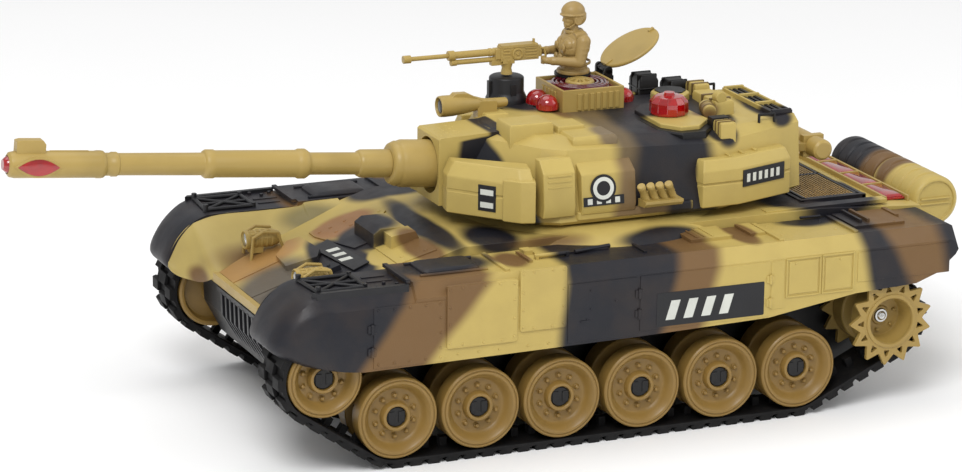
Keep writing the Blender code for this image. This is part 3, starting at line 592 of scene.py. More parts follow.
def sprocket(hand_name, hand):
    """The drive sprocket, with the washer and cross-head screw that hold it."""
    node = f"{hand_name}_drive_sprocket"
    centre = (0, SPROCKET.cy, SPROCKET.cz)
    drum = [
        (3.3, 60), (12, 60), (15.6, 61.2), (15.6, 69.5), (15, 70.2), (10.8, 71), (10.8, 77.6),
        (15, 78.4), (15.6, 79.1), (15.6, 87.7), (13.2, 87.9), (12.9, 90.2), (11.3, 90.2), (11, 89.6),
        (10.1, 80), (9.5, 78.9), (4.6, 78.6), (4.3, 79.4), (3.3, 79.4),
    ]
    parts = [turned(drum, "x", centre, 64)]
    parts.append(sprocket_ring(87.6, 89.7, 10.9))
    parts.append(sprocket_ring(58.6, 61, 5, window=False))
    for i in range(6):
        a = 2 * pi * i / 6 + 0.3
        y, z = SPROCKET.cy + 7.2 * cos(a), SPROCKET.cz + 7.2 * sin(a)
        stud = [(0, 78.3), (0.9, 78.3), (0.9, 79.6), (0.5, 80), (0, 80)]
        parts.append(turned(stud, "x", (0, y, z), 12))
    body = f"{hand_name}_sprocket"
    piece(f"{node}_wheel", parts, SPROCKET_SAND, body, [node], 0.2, 30, hand)
    screw = [
        (0, 42), (2.6, 42), (2.6, 79.5), (3.1, 79.55), (3.2, 79.9), (3.1, 80.1), (2.2, 80.1),
        (2.15, 80.5), (1.5, 81), (0, 81.1),
    ]
    parts = [turned(screw, "x", centre, 40)]
    cy, cz = SPROCKET.cy, SPROCKET.cz
    parts += [box(81, 81.16, cy - y, cy + y, cz - z, cz + z) for y, z in ((1.1, 0.26), (0.26, 1.1))]
    shaft = f"{hand_name}_drive_shaft"
    piece(f"{shaft}_screw", parts, CHROME, body, [shaft], 0.1, hand=hand)


RUBBER = rubber("track_rubber")
GLOSS_BLACK = plastic("gloss_black", srgb(13, 12, 13), 0.34, 0.1)
WHEEL_SAND = plastic("wheel_sand", srgb(134, 106, 54), 0.36, 0.12, 0.9)
SPROCKET_SAND = plastic("sprocket_sand", srgb(156, 130, 70), 0.38, 0.12, 0.88)
CHROME = bright_metal("bright_metal")
for side_name, side in HANDS:
    track(side_name, side)
    for wheel_station in STATIONS:
        wheel(side_name, side, wheel_station)
    sprocket(side_name, side)


# -------------------------------------------------------------------------- hull

HULL = Box("upper_hull")
SKIRT_X = HULL.x1
RIM_X = 57
SKIRT_WALL = 1.6
TOP_Z = 86
SHOULDER_Z = 79.4
SHOULDER_X = 87.3
DECK_Z = 90
LIP_Y, LIP_Z = -121, 62.5
GLACIS_RISE = 0.3133
NOSE_SLOPE = (
    (-135.2, 56.6, 62.4, 63.6), (-133.5, 54.8, 59.7, 68.5), (-130.5, 52.2, 58, 73.8),
    (-127, 48, 57.4, 77.7), (-124, 40, 58.2, 80), (-120.8, 31, 62.6, 81.6),
    (-110, 35.5, 65.9, 83.9), (-90, 42, 72.2, 83.9), (-70, 46.8, 78.5, 84.1),
    (-66, 47.6, 79.8, 85.8), (-50, 51.5, 84.7, 85.95),
)


def glacis_z(y):
    return LIP_Z + (y - LIP_Y) * GLACIS_RISE


def fender_line(pull, drop):
    """(y, z) from the skirt's front foot round the nose, over the top, down the tail and back."""
    front, rear = HULL.y0 + pull, HULL.y1
    high, top = TOP_Z - 2 - drop, TOP_Z - drop
    nose = [(-94.5, 48.5), (-109 + pull / 3, 50), (front + 14, 52.5), (front + 3, 58)]
    nose += [(front, 63.6), (front + 5.5, 74.2), (front + 13.5, min(81.5, high - 0.8)), (front + 20, high)]
    tail = [(-70.5, high), (-69.7, top), (rear - 4, top), (rear - 1.3, top - 1.3), (rear, top - 5)]
    tail += [(rear - 1.5, 72), (rear - 11, 63.9), (rear - 22, 60)]
    return curve_through(nose, 5) + tail + [(149.7, 58.5), (105, 51.7), (38.5, 50)]


def fender_shell():
    """The fender and its skirt as a thin shell, open below."""
    loops = []
    for x in (RIM_X, 57.6, 58.6, 66, 76, 80, 83, 85.5, SHOULDER_X, 88.6, 90, 91.2, SKIRT_X):
        reach = min(max((x - 79) / (SKIRT_X - 79), 0), 1)
        pull = 11 * (1 - sqrt(1 - reach * reach)) + max(0, 58.6 - x) * 0.5
        drop = max(0, (x - SHOULDER_X) / (SKIRT_X - SHOULDER_X)) * (TOP_Z - SHOULDER_Z)
        loops.append([(x, y, z) for y, z in fender_line(pull, drop)])
    count = len(loops[0])
    return loft(loops, skip=range(count - 4, count))


def nose_slope_solid():
    """The smooth slope from the fender's inner rim down to the glacis and its lip."""
    loops = []
    for y, foot_x, foot_z, rim_z in curve_through(NOSE_SLOPE, 4):
        loop = []
        for i in range(9):
            t = i / 8
            sag = 1.2 * sin(pi * t) * min(1, (rim_z - foot_z) / 12)
            x = foot_x + (RIM_X + 0.4 - foot_x) * t
            loop.append((x + sag * 0.4, y, foot_z + (rim_z - foot_z) * t**0.9 - sag))
        low = foot_z - 1.6
        loop += [(RIM_X + 0.4, y, low), (foot_x, y, low)]
        loops.append(loop)
    return loft(loops)


def plate(x0, x1, y0, y1, z0, z1, round_by=1.2):
    """A flat panel on the skirt with rounded corners."""
    outline = []
    for cy, cz, start in (
        (y1 - round_by, z1 - round_by, 0),
        (y0 + round_by, z1 - round_by, pi / 2),
        (y0 + round_by, z0 + round_by, pi),
        (y1 - round_by, z0 + round_by, 1.5 * pi),
    ):
        for k in range(4):
            a = start + k * pi / 6
            outline.append((cy + round_by * cos(a), cz + round_by * sin(a)))
    return prism(outline, "x", x0, x1)


def leaned(outline, thick, lift=0):
    """A panel laid on the glacis from an (x, y) outline."""
    low = [(x, y, glacis_z(y) + lift - 0.3) for x, y in outline]
    high = [(x, y - thick * 0.3, glacis_z(y) + lift + thick) for x, y in outline]
    return loft([low, high])


def skirt_details():
    """What stands on the skirt: riveted plates, hinges, seams and framed panels."""
    out = SKIRT_X
    parts = [
        plate(out - 1.2, out + 0.9, -55.5, -21.5, 55, 84),
        plate(out - 1.2, out + 0.9, -20.2, 2.5, 59, 87.6),
        plate(out - 1.2, out + 0.3, -90.2, -56.4, 49.6, 77.8, 0.4),
        plate(out - 1.2, out + 0.3, 3.4, 38, 50.9, 78.4, 0.4),
        plate(out - 1.2, out + 0.3, 39.2, 104.6, 52.6, 78.6, 0.4),
        plate(out - 1.2, out + 0.25, 105.6, 112.4, 55.5, 78.6, 0.3),
        plate(out - 1.2, out + 0.3, 150.4, 199, 63.9, 78.2, 0.4),
    ]
    for y0, y1 in ((113.1, 131.2), (131.8, 148.6)):
        for a0, a1, b0, b1 in (
            (y0, y1, 78.2, 79), (y0, y1, 60.2, 61), (y0, y0 + 0.8, 60.6, 78.6), (y1 - 0.8, y1, 60.6, 78.6)
        ):
            parts.append(box(out - 0.5, out + 0.55, a0, a1, b0, b1))
        parts.append(plate(out - 0.6, out + 0.35, y0 + 1.6, y1 - 1.6, 61.9, 77.4, 0.3))
    for y, z in ((-91, 68), (-91, 57.5), (38.6, 70.5), (38.6, 61), (105.1, 70.2), (105.1, 59)):
        parts.append(plate(out - 0.4, out + 0.75, y - 2, y + 2, z - 1.8, z + 1.8, 0.4))
        parts.append(rod(0.75, (out + 0.7, y, z - 2.3), (out + 0.7, y, z + 2.3), 10))
    on_plates = [(-54, z) for z in (57.5, 66, 74, 82)] + [(-23, z) for z in (57.5, 66, 74.5, 82)]
    on_plates += [(y, 82.6) for y in (-48, -37, -30)] + [(y, 56.4) for y in (-48, -38, -29)]
    on_plates += [(y, z) for y in (-18.8, 1) for z in (61, 69, 77, 86)]
    on_plates += [(y, z) for y in (-13.5, -4.5) for z in (60.2, 86.4)]
    on_panel = [(y, z) for y in (-88, -80.5, -73, -65.5, -58.5) for z in (51.4, 76.3)]
    on_panel += [(-58.3, z) for z in (56, 63, 70)]
    on_foot = [(y, 52) for y in (-50, -40, -30, -16, -6)]
    single = [(14.5, 74.5), (14.5, 66), (13, 61), (27, 68.5), (118, 76.2), (141, 76)]
    for proud, radius, places in (
        (0.8, 0.65, on_plates), (0.3, 0.6, on_panel), (0, 0.5, on_foot), (0.3, 0.5, single)
    ):
        parts += rivets([(out + proud, y, z) for y, z in places], (1, 0, 0), radius)
    parts.append(box(out - 0.5, out + 0.7, 9.5, 14, 60, 60.8))
    return parts


def fender_top_details():
    """Ribs, hatches, latches and stowage on top of the fender."""
    top = TOP_Z
    parts = []
    for y in (-71.6, -23.8, 113.3, 152.2):
        parts.append(box(58, 86.6, y - 1.1, y + 1.1, top - 0.5, top + 1.1))
    parts.append(box(66, 82, 45.6, 47.2, top - 0.5, top + 1))
    hatch = []
    for cx, cy, start in ((76.4, -36, 0), (63, -36, pi / 2), (63, -58.5, pi), (76.4, -58.5, 1.5 * pi)):
        angles = [start + k * pi / 8 for k in range(5)]
        hatch += [(cx + 2.6 * cos(a), cy + 2.6 * sin(a)) for a in angles]
    rows = ((1, -0.5), (0.98, 1), (0.9, 1.8), (0.8, 2.1))
    parts.append(loft([flat(shrunk(hatch, share, (69.7, -47.2)), top + lift) for share, lift in rows]))
    for radius, lift, (xa, ya), (xb, yb), count in (
        (0.8, 0.4, (61, -63.5), (61, -31), 8),
        (0.8, 0.4, (80.5, -63.5), (80.5, -31), 8),
        (1, 1.5, (73.5, -5), (73.5, 12), 10),
        (1, 1.2, (72, 15.5), (68.5, 34.5), 10),
        (0.7, 1.2, (58, 137.5), (58.5, 148), 8),
    ):
        parts.append(rod(radius, (xa, ya, top + lift), (xb, yb, top + lift), count))
    for x0, x1, y0, y1, down, up in (
        (62, 78, -9.5, -7.6, 0.3, 1.3),
        (60.5, 66, -7, -2.5, 0.3, 2.2),
        (72.3, 74.7, -4.8, -3.2, 0.5, 2.2),
        (72.3, 74.7, 10.2, 11.8, 0.5, 2.2),
        (57.5, 71, -2, 33, 0.5, 0.9),
        (57.5, 75, 72.5, 94.5, 0.5, 1.7),
        (57.5, 74.4, 103.5, 111, 0.5, 1.4),
        (58.5, 74, 76, 77, -1.2, 2.2),
        (58.5, 74, 80, 81, -1.2, 2.2),
        (58.5, 74, 84, 85, -1.2, 2.2),
        (57.5, 80.5, 154.5, 181, 0.5, 1.3),
        (57.5, 76, 159.4, 160.9, -1, 2.9),
        (57.5, 76, 163.4, 164.9, -1, 2.9),
        (57.5, 71, 181, 183, 0.5, 2),
    ):
        parts.append(box(x0, x1, y0, y1, top - down, top + up))
    for x, y in ((62, 118), (78, 118), (62, 146), (78, 146), (80, 58), (62, 58), (79, 176), (79, 158)):
        parts.append(rivet((x, y, top + (1.2 if y > 155 else 0)), (0, 0, 1), 0.7))
    low = top - 2
    for x0, x1, y0, y1 in ((66.5, 68, -86.5, -75.5), (73.6, 75.1, -86.5, -74.5)):
        parts.append(box(x0, x1, y0, y1, low - 0.3, low + 0.5))
    for x, y in ((84, -85), (82.5, -75.5), (79.5, -80.5)):
        parts.append(rod(0.9, (x, y, low - 0.5), (x, y, low + 1.3), 10))
    return parts


def lattice():
    """The dark bar frame with two posts on the front of the fender, and the rib beside it."""
    low = TOP_Z - 2
    corners = [(62.5, -114.5), (83.5, -113), (82.5, -90.5), (62.5, -90.5)]
    parts = []
    for a, b in zip(corners, corners[1:] + corners[:1]):
        parts.append(rod(1, (*a, low + 0.9), (*b, low + 0.9), 8))
    for a, b in ((0, 2), (1, 3)):
        parts.append(rod(0.8, (*corners[a], low + 0.8), (*corners[b], low + 0.8), 8))
    parts.append(rod(0.8, (72.5, -113.6, low + 0.8), (72.5, -90.5, low + 0.8), 8))
    for x, y in corners[:2]:
        parts.append(rod(1.3, (x, y, low - 4), (x, y, low + 3.6), 12))
    for x, y in corners[2:]:
        parts.append(rod(1.1, (x, y, low - 0.5), (x, y, low + 2.4), 12))
    rib = [(85.6, -117), (88.2, -115), (88.6, -72), (85.9, -72)]
    parts.append(prism(rib, "z", low - 4.5, low + 1.6))
    return parts


def fender(hand_name, hand, paint, slope_paint):
    def add(part_name, parts, look, bevel, sharp=35):
        return piece(f"{hand_name}_{part_name}", parts, look, "hull", (), bevel, sharp, hand)

    shell = add("fender_shell", [fender_shell()], paint, 0.3, 30)
    wall = shell.modifiers.new("wall", "SOLIDIFY")
    wall.thickness = SKIRT_WALL * MM
    wall.offset = -1
    shell.modifiers.move(1, 0)
    add("nose_slope", [nose_slope_solid()], slope_paint, 0.4, 40)
    add("fender_details", skirt_details() + fender_top_details(), paint, 0.25)
    add("fender_lattice", lattice(), SLATE_PLASTIC, 0.2)


def deck():
    """The glacis and deck between the fenders, with the collar round the turret ring."""
    half = RIM_X - 0.9
    foot = 58.5
    outline = [(LIP_Y, foot), (LIP_Y, LIP_Z), (-38, 88.5), (-32, DECK_Z), (150, DECK_Z)]
    outline += [(HULL.y1 - 0.8, DECK_Z - 3.5), (HULL.y1 - 0.8, foot)]
    inner = [(LIP_Y + 3, foot - 6), (LIP_Y + 3, LIP_Z - 2.2), (-38, 86.3), (-32, DECK_Z - 2.2)]
    inner += [(150, DECK_Z - 2.2), (HULL.y1 - 3, DECK_Z - 5.7), (HULL.y1 - 3, foot - 6)]
    middle = Box("turret_base")
    ring = turned([(0, 80), (33.2, 80), (33.2, 94), (0, 94)], "z", (0, middle.cy, 0), 64)
    grille = Box("engine_grille")
    hole = box(grille.x0 - 0.3, grille.x1 + 0.3, grille.y0 - 0.3, grille.y1 + 0.3, 80, 94)
    body = carved(prism(outline, "x", -half, half), [prism(inner, "x", -54.5, 54.5), ring, hole])
    slope = [
        (47, 88), (47, 92.2), (56.5, 92.2), (58.5, 91.6), (63, 90.2), (67, 88.2), (70, 85.6),
        (60, 85),
    ]
    parts = [body, turned(slope, "z", (0, middle.cy, 0), 96)]
    lip = box(-30.5, 30.5, LIP_Y - 1.2, LIP_Y + 1.6, LIP_Z - 2.6, LIP_Z + 1.5)
    piece("glacis_lip", [lip], SAND_PLASTIC, "hull", (), 0.2)
    panels = (
        (0.5, [(-31, -118.8), (-12, -118.8), (-14.6, -93), (-36, -93)]),
        (0.5, [(-11, -118.8), (13.4, -118.8), (12.6, -84.5), (-13.4, -84.5)]),
        (0.5, [(14.4, -118.8), (31, -118.8), (41, -93), (13.6, -93)]),
        (0.7, [(-32, -74), (-34.5, -40.5), (-19.5, -40), (-12, -47), (8, -47), (8, -66.5), (-24, -74)]),
        (0.6, [(11, -60), (46, -60), (48, -42), (28.5, -42)]),
        (3, [(-26, -80), (-2, -79), (5.5, -83), (1.3, -97), (-16, -95.5), (-27, -86)]),
        (2.4, [(16.5, -95.5), (24, -97), (24, -79), (16.5, -80)]),
    )
    parts += [leaned(panel, thick) for thick, panel in panels]
    studs = (
        (
            0.7, 1,
            ((-26.3, -70.8), (-26.7, -65.3), (-27.4, -57.9), (-19.7, -57.7), (-16.5, -54.9), (-19, -65.2))
        ),
        (0.7, 1, ((-21.5, -43), (-7.5, -49.5), (40, -56), (44, -46), (-5.5, -55.2))),
        (2.9, 0.9, ((-19, -86), (-9, -84), (-8, -92), (-1.5, -90), (20, -84), (20, -92))),
    )
    for lift, radius, places in studs:
        parts += rivets([(x, y, glacis_z(y) + lift) for x, y in places], (0, -0.3, 1), radius)
    hood = [(-60.5, 79), (-60.5, 88.2), (-57, 90.6), (-45, 90.6), (-43, 86), (-43, 79)]
    visor = [(-56, 80), (-56, 89.5), (-44, 91), (-42, 87), (-42, 82)]
    parts += [prism(hood, "x", -8, 17), prism(visor, "x", 17, 27)]
    for x in (-41.4, 41.4):
        parts.append(box(x - 1, x + 1, grille.y0 - 3, grille.y1 + 3, DECK_Z - 2, DECK_Z + 0.9))
    for y in (grille.y0 - 1.9, grille.y1 + 1.9):
        parts.append(box(-42.4, 42.4, y - 1, y + 1, DECK_Z - 2.5, DECK_Z + 0.6))
    for x in (-51, 51):
        parts.append(box(x - 3, x + 3, 122, 186, DECK_Z - 1, DECK_Z + 0.7))
    piece("hull_deck", parts, DECK_CAMO_AND_SHADE, "hull", ["upper_hull"], 0.25)


def headlight(hand_name):
    """A ribbed lamp with a bright round lens, a block grid on its back and a guard bar."""
    node = f"{hand_name}_headlight"
    at = Box(node)
    x, z = at.cx, at.z1 - 4.4
    body = [(0, -12), (2.6, -12), (3.4, -10.5), (4.1, -8), (4.1, 3.4), (4.5, 3.6), (4.5, 5.4), (3.9, 5.8)]
    body += [(3.5, 5), (0, 4.6)]
    base_y = at.y0 + 6
    parts = [turned(body, "y", (x, base_y, z), 32)]
    for k in range(4):
        rim = [(4, k * 2.6 - 8), (4.4, k * 2.6 - 7.8), (4.4, k * 2.6 - 7), (4, k * 2.6 - 6.8)]
        parts.append(turned(rim, "y", (x, base_y, z), 32))
    for k in range(6):
        a = pi * (0.1 + 0.16 * k)
        rib = box(-0.5, 0.5, -3, 8, 3.7, 4.35)
        moved(rib, Matrix.Translation((x, base_y, z)) @ Matrix.Rotation(a - pi / 2, 4, "Y"))
        parts.append(rib)
    parts.append(box(x - 2.6, x + 2.6, base_y - 3, base_y + 3.2, at.z0, z))
    piece(f"{node}_body", parts, SAND_PLASTIC, "hull", [node], 0.2)
    glass = turned([(0, 6), (1.8, 5.8), (3, 5.3), (3.5, 4.6), (0, 4.4)], "y", (x, base_y, z), 32)
    piece(f"{node}_lens", [glass], CHROME, "hull", (), 0)
    guard = []
    front, rear = base_y - 4, base_y + 12
    bends = [(front, glacis_z(front)), (base_y - 3, z + 2), (base_y + 2, z + 4.6), (base_y + 9, z + 3.6)]
    bends.append((rear, glacis_z(rear)))
    for dx in (-5.6, 5.6):
        guard += wire([(x + dx, *bend) for bend in bends], 0.75)
    piece(f"{node}_guard", guard, SAND_PLASTIC, "hull", (), 0)


def nose_ribs():
    """The ribs on the black tub's nose, with the bar above them."""
    rib = [(-119, 57), (-120.6, 55.5), (-120.2, 45), (-112.5, 32.5), (-110.5, 33), (-117.5, 45)]
    parts = [prism(rib, "x", x - 1.1, x + 1.1) for x in range(-24, 25, 6)]
    parts.append(box(-30, 30, -120.4, -118, 55, 57.4))
    piece("tub_nose_ribs", parts, SLATE_PLASTIC, "hull", (), 0.2)


def drum(hand_name, hand, paint):
    """A fuel drum with swaged rings and a grip pressed into its end."""
    node = f"{hand_name}_fuel_drum"
    at = Box(node)
    radius = 12.3
    y, z = at.y1 - radius, at.z1 - radius
    inner, outer = 0.4, 43
    profile = [(0, inner), (radius - 2, inner), (radius - 0.6, inner + 0.8), (radius, inner + 2.4)]
    for place in (0.22, 0.42, 0.62, 0.82):
        x = inner + place * (outer - inner)
        profile += [(radius, x - 1.3), (radius - 0.9, x - 0.7), (radius - 0.9, x + 0.7), (radius, x + 1.3)]
    profile += [
        (radius, outer - 2.2), (radius - 0.5, outer - 0.8), (radius - 1.6, outer), (radius - 2.4, outer)
    ]
    profile += [(radius - 2.8, outer - 1), (0, outer - 0.8)]
    parts = [turned(profile, "x", (0, y, z), 64)]
    parts += [box(outer - 1.6, outer - 0.1, y - 8, y + 8, z + a, z + a + 0.9) for a in (-1.6, 0.9)]
    parts.append(box(14, 20, HULL.y1, y - 6, z - 8, z))
    parts.append(box(30, 34, HULL.y1, y - 6, z - 6, z - 1))
    piece(f"{node}_shell", parts, paint, "hull", [node], 0.3, hand=hand)


def grille_and_lights():
    """The woven engine grille and the four red rear windows."""
    at = Box("engine_grille")
    z = DECK_Z + 0.2
    parts = [box(at.x0, at.x1, at.y0, at.y1, at.z0, z - 1.6)]
    for x0, x1, y0, y1 in (
        (at.x0, at.x1, at.y0, at.y0 + 1.4), (at.x0, at.x1, at.y1 - 1.4, at.y1),
        (at.x0, at.x0 + 1.4, at.y0, at.y1), (at.x1 - 1.4, at.x1, at.y0, at.y1), (-0.8, 0.8, at.y0, at.y1),
    ):
        parts.append(box(x0, x1, y0, y1, z - 2, z + 0.6))
    piece("engine_grille_frame", parts, SLATE_PLASTIC, "hull", ["engine_grille"], 0.1)
    wires = []
    step = 1.75
    for i in range(int((at.x1 - at.x0 - 3) / step) + 1):
        x = at.x0 + 1.5 + i * step
        wires.append(rod(0.32, (x, at.y0 + 1, z), (x, at.y1 - 1, z), 5))
    for i in range(int((at.y1 - at.y0 - 3) / step) + 1):
        y = at.y0 + 1.5 + i * step
        wires.append(rod(0.32, (at.x0 + 1, y, z + 0.3), (at.x1 - 1, y, z + 0.3), 5))
    piece("engine_grille_wires", wires, BRONZE, "hull", (), 0)
    at = Box("rear_light_strip")
    parts = [box(at.x0, at.x1, at.y0, at.y1, at.z0, at.z0 + 1)]
    for x in (-34.5, -11.5, 11.5, 34.5):
        loops = []
        for half_x, half_y, lift in ((10.6, 4.6, 0.9), (10.6, 4.6, 1.4), (9.4, 3.4, 2.2)):
            loops.append(
                [
                    (x + a * half_x, at.cy + b * half_y, at.z0 + lift)
                    for a, b in ((-1, -1), (1, -1), (1, 1), (-1, 1))
                ]
            )
        parts.append(loft(loops))
    piece("rear_light_windows", parts, RED_LENS, "hull", ["rear_light_strip"], 0.15)
    frame_bars = [box(-48, 48, at.y0 - 1.6, at.y0 - 0.2, DECK_Z - 3, DECK_Z - 0.2)]
    frame_bars += [box(-48, 48, at.y1 + 0.2, at.y1 + 1.4, DECK_Z - 5, DECK_Z - 0.6)]
    frame_bars += [box(x - 0.6, x + 0.6, at.y0, at.y1, at.z0 + 0.8, at.z0 + 2.4) for x in (-23, 0, 23)]
    piece("rear_light_frame", frame_bars, SAND_PLASTIC, "hull", (), 0.15)


def stickers():
    """Plain dark plates with a few slanted bars, where the model carries decals."""
    out = SKIRT_X + 0.3
    plates = [plate(out - 0.1, out + 0.12, 47.5, 102, 53.6, 69.5, 0.6)]
    plates.append(leaned([(-11, -80), (-14, -71.5), (31, -68.2), (32.5, -76.5)], 0.2, 0.9))
    piece("decal_plates", plates, SLATE_PLASTIC, "hull", (), 0)
    bars = []
    for i in range(4):
        y = 52 + 9 * i
        bars.append(
            prism([(y, 56.5), (y + 4.6, 56.5), (y + 7.4, 65.5), (y + 2.8, 65.5)], "x", out, out + 0.2)
        )
    for i in range(3):
        x = -2 + 8 * i
        bars.append(leaned([(x, -77), (x + 4, -76.8), (x + 6, -71.8), (x + 2, -72)], 0.15, 1.05))
    piece("decal_bars", bars, PALE, "hull", (), 0)


LEFT_CUTS = [
    ("cut", (0, -80, 71), (0, 0.787, -0.618), 6, BROWN),
    ("cut", (0, -50, 66), (0, 0.765, -0.644), 6, SAND),
    ("cut", (0, 1, 68), (0, 0.995, -0.104), 7, SLATE),
    ("cut", (0, 57.7, 76), (0, 0.961, -0.277), 7, BROWN),
    ("cut", (0, 77.5, 75), (0, 0.966, -0.259), 7, SAND),
    ("cut", (0, 154, 76), (0, 0.975, 0.222), 7, SLATE),
    ("cut", (0, 168.8, 80), (0, 0.885, 0.465), 7, BROWN),
    ("cut", (0, 194, 80), (0, 0.98, 0.2), 9, SLATE),
]
LEFT_TOP = [
    ("blob", (66, -50, 88), (17, 30, 4.2), 0.4, SLATE),
    ("blob", (70, -16, 88), (14, 9, 4), 0.4, BROWN),
    ("blob", (70, 100, 88), (20, 7, 4), 0.4, BROWN),
    ("blob", (58, 140, 89), (14, 20, 5), 0.4, SLATE),
]
RIGHT_TOP = [
    ("blob", (-74, -50, 89), (24, 44, 7), 0.3, SLATE),
    ("blob", (-70, 100, 88), (20, 12, 5), 0.4, BROWN),
]
SLATE_PLASTIC = plastic("slate_plastic", srgb(27, 27, 30), 0.4)
BLACK_PLASTIC = plastic("black_plastic", srgb(15, 14, 15), 0.42)
SAND_PLASTIC = plastic("sand_plastic", srgb(168, 143, 80), 0.38, 0.12, 0.85)
PALE = plastic("pale_paint", srgb(206, 208, 200), 0.45)
BRONZE = bright_metal("bronze", srgb(176, 150, 104), 0.35)
RED_LENS = lens("red_lens", srgb(178, 6, 12))
LEFT_PAINT = sprayed("left_fender_paint", SLATE, LEFT_CUTS + LEFT_TOP, 3)
RIGHT_CUTS = [("cut", (0, y - 6, z), n, w, c) for _, (_, y, z), n, w, c in LEFT_CUTS]
RIGHT_PAINT = sprayed("right_fender_paint", SLATE, [RIGHT_CUTS[0]] + RIGHT_CUTS[2:] + RIGHT_TOP, 4)
SLOPE_CUTS = [("cut", (0, y, 80), (0, 1, 0), 10, colour) for y, colour in ((-70, BROWN), (-54, SAND))]
LEFT_SLOPE_PAINT = sprayed("left_slope_paint", SLATE, SLOPE_CUTS)
# The far nose slope is sand with painted shade: the brown and olive blobs darken its foot along the glacis
# and the lip.
RIGHT_SLOPE_SAND_AND_SHADE = sprayed(
    "right_slope_sand_and_shade", srgb(176, 156, 92),
    [
        ("blob", (-42, -104, 64), (12, 16, 7), 0.9, BROWN),
        ("blob", (-50, -66, 78), (8, 15, 9), 0.9, srgb(120, 108, 62)),
        ("blob", (-44, -123, 58), (10, 5, 5), 0.8, BROWN),
    ],
    4,
)
# Deck camouflage, with two slate blobs near the turret's front that are painted shade.
DECK_CAMO_AND_SHADE = sprayed(
    "deck_camo_and_shade", SAND,
    [
        ("blob", (-22, -103, 68), (17, 24, 20), 0.5, srgb(160, 122, 70)),
        ("blob", (12, -104, 67), (24, 22, 14), 0.6, srgb(92, 84, 72)),
        ("blob", (34, -100, 70), (18, 22, 12), 0.4, SLATE),
        ("blob", (14, -76, 78), (32, 12, 10), 0.3, SLATE),
        ("blob", (-24, -60, 82), (14, 18, 9), 0.4, srgb(150, 108, 66)),
        ("blob", (2, -58, 86), (18, 16, 12), 0.4, SLATE),
        ("blob", (30, -60, 82), (12, 10, 7), 0.2, SAND),
        ("blob", (40, -47, 88), (24, 8, 7), 0.5, BROWN),
        # painted shadow: a dark band on the deck along the turret's front edge
        ("blob", (14, -35, 90), (46, 7, 7), 0.5, SLATE),
        ("blob", (-52, -30, 90), (16, 26, 6), 0.4, SLATE),
        # painted shade: dark patch on the deck beneath the overhanging turret cheek
        ("blob", (46, -15, 90), (22, 12, 6), 0.6, SLATE),
        ("blob", (62, 8, 89), (10, 18, 4), 0.8, BROWN),
        ("blob", (66, 66, 88), (10, 24, 4), 0.5, SLATE),
        ("blob", (36, 158, 90), (26, 32, 10), 0.3, SLATE),
        ("cut", (0, 182, 90), (0, 1, 0), 5, SAND),
    ],
    4,
)
LEFT_DRUM_PAINT = sprayed("left_drum_paint", SAND, [("blob", (10, 219, 92), (7, 20, 20), 0.5, BROWN)])
RIGHT_DRUM_PAINT = sprayed("right_drum_paint", SLATE, [("cut", (-12, 219, 90), (1, 0, 0), 6, BROWN)])
fender("left", 1, LEFT_PAINT, LEFT_SLOPE_PAINT)
fender("right", -1, RIGHT_PAINT, RIGHT_SLOPE_SAND_AND_SHADE)
deck()
for side_name, _ in HANDS:
    headlight(side_name)
nose_ribs()
drum("left", 1, LEFT_DRUM_PAINT)
drum("right", -1, RIGHT_DRUM_PAINT)
grille_and_lights()
stickers()
repaint(BLACK_PLASTIC, "lower_hull", "battery_door", "power_switch", "speaker")


# ------------------------------------------------------------------------ turret

BASE_HALF = [(13, -22), (30, -5), (46, 6), (52, 17), (52, 99), (31, 151)]
ROOF_HALF = [(9, -6), (28, 6), (39, 13), (45, 23), (45, 101), (30, 150)]
CROWN_HALF = [(6, 2), (16, 9), (26, 15), (34, 26), (34, 101), (27, 149)]
TURRET_FOOT_Z = 93.5
TRUNNION = Vector((0, -20, 114.2))
GUN_TILT = 5.2


def edge_z(y):
    """Height of the roof's edge: it falls from the front and rises again over the bustle."""
    front, middle, rear = (14, 127.5), (101, 123.8), (150, 126)
    (y0, z0), (y1, z1) = (front, middle) if y < middle[0] else (middle, rear)
    return z0 + min(max((y - y0) / (y1 - y0), 0), 1) * (z1 - z0)


def roof_z(y):
    return edge_z(y) + 3.5


def mirrored_plan(half):
    return half + [(-x, y) for x, y in reversed(half)]


def tapered(outline, low, high, top_share=0.94, lip=1):
    """A block from a plan outline, drawn in a little at its top."""
    cx = sum(x for x, _ in outline) / len(outline)
    cy = sum(y for _, y in outline) / len(outline)
    top = shrunk(outline, top_share, (cx, cy))
    return loft([flat(outline, low), flat(outline, high - lip * 2), flat(top, high)])


def turret_body():
    """The turret's shell and the block round the mantlet, both open for the gun's collar."""
    base, edge, crown = (mirrored_plan(half) for half in (BASE_HALF, ROOF_HALF, CROWN_HALF))
    rows = [
        flat(shrunk(base, 0.97), TURRET_FOOT_Z),
        flat(base, TURRET_FOOT_Z + 1.6),
        [(x, y, edge_z(y)) for x, y in edge],
        [(x, y, roof_z(y)) for x, y in crown],
    ]
    arc = [(11.7 * cos(k * pi / 24), 11.7 * sin(k * pi / 24)) for k in range(25)]
    slot = [(x, 115.8 + z) for x, z in arc] + [(-x, 112.6 - z) for x, z in arc]
    shell = carved(loft(rows), [prism(slot, "y", -60, -6)])
    piece("turret_body", [shell], TURRET_PAINT, "turret", ["turret_shell"], 1, 20)
    block = [(-27, 97.6), (-27, 128.8), (-26, 129.7), (6, 130.6), (6, 97.6)]
    parts = [carved(prism(block, "x", -13.4, 13.4), [prism(slot, "y", -60, -6)])]
    row = [(-9 + 4.5 * k, -22 + (k % 2) * 9, 129.4 + (k % 2) * 0.4) for k in range(5)]
    parts += rivets(row, (0, 0, 1), 0.9)
    grid = [
        (-7.5 + 5 * k + 2 * (j % 2), -23.5 + 4.2 * j, 129.5 + j * 0.15) for k in range(4) for j in range(3)
    ]
    parts += rivets(grid, (0, 0, 1), 1.1)
    piece("mantlet_block", parts, MANTLET_PAINT, "turret", (), 0.4)


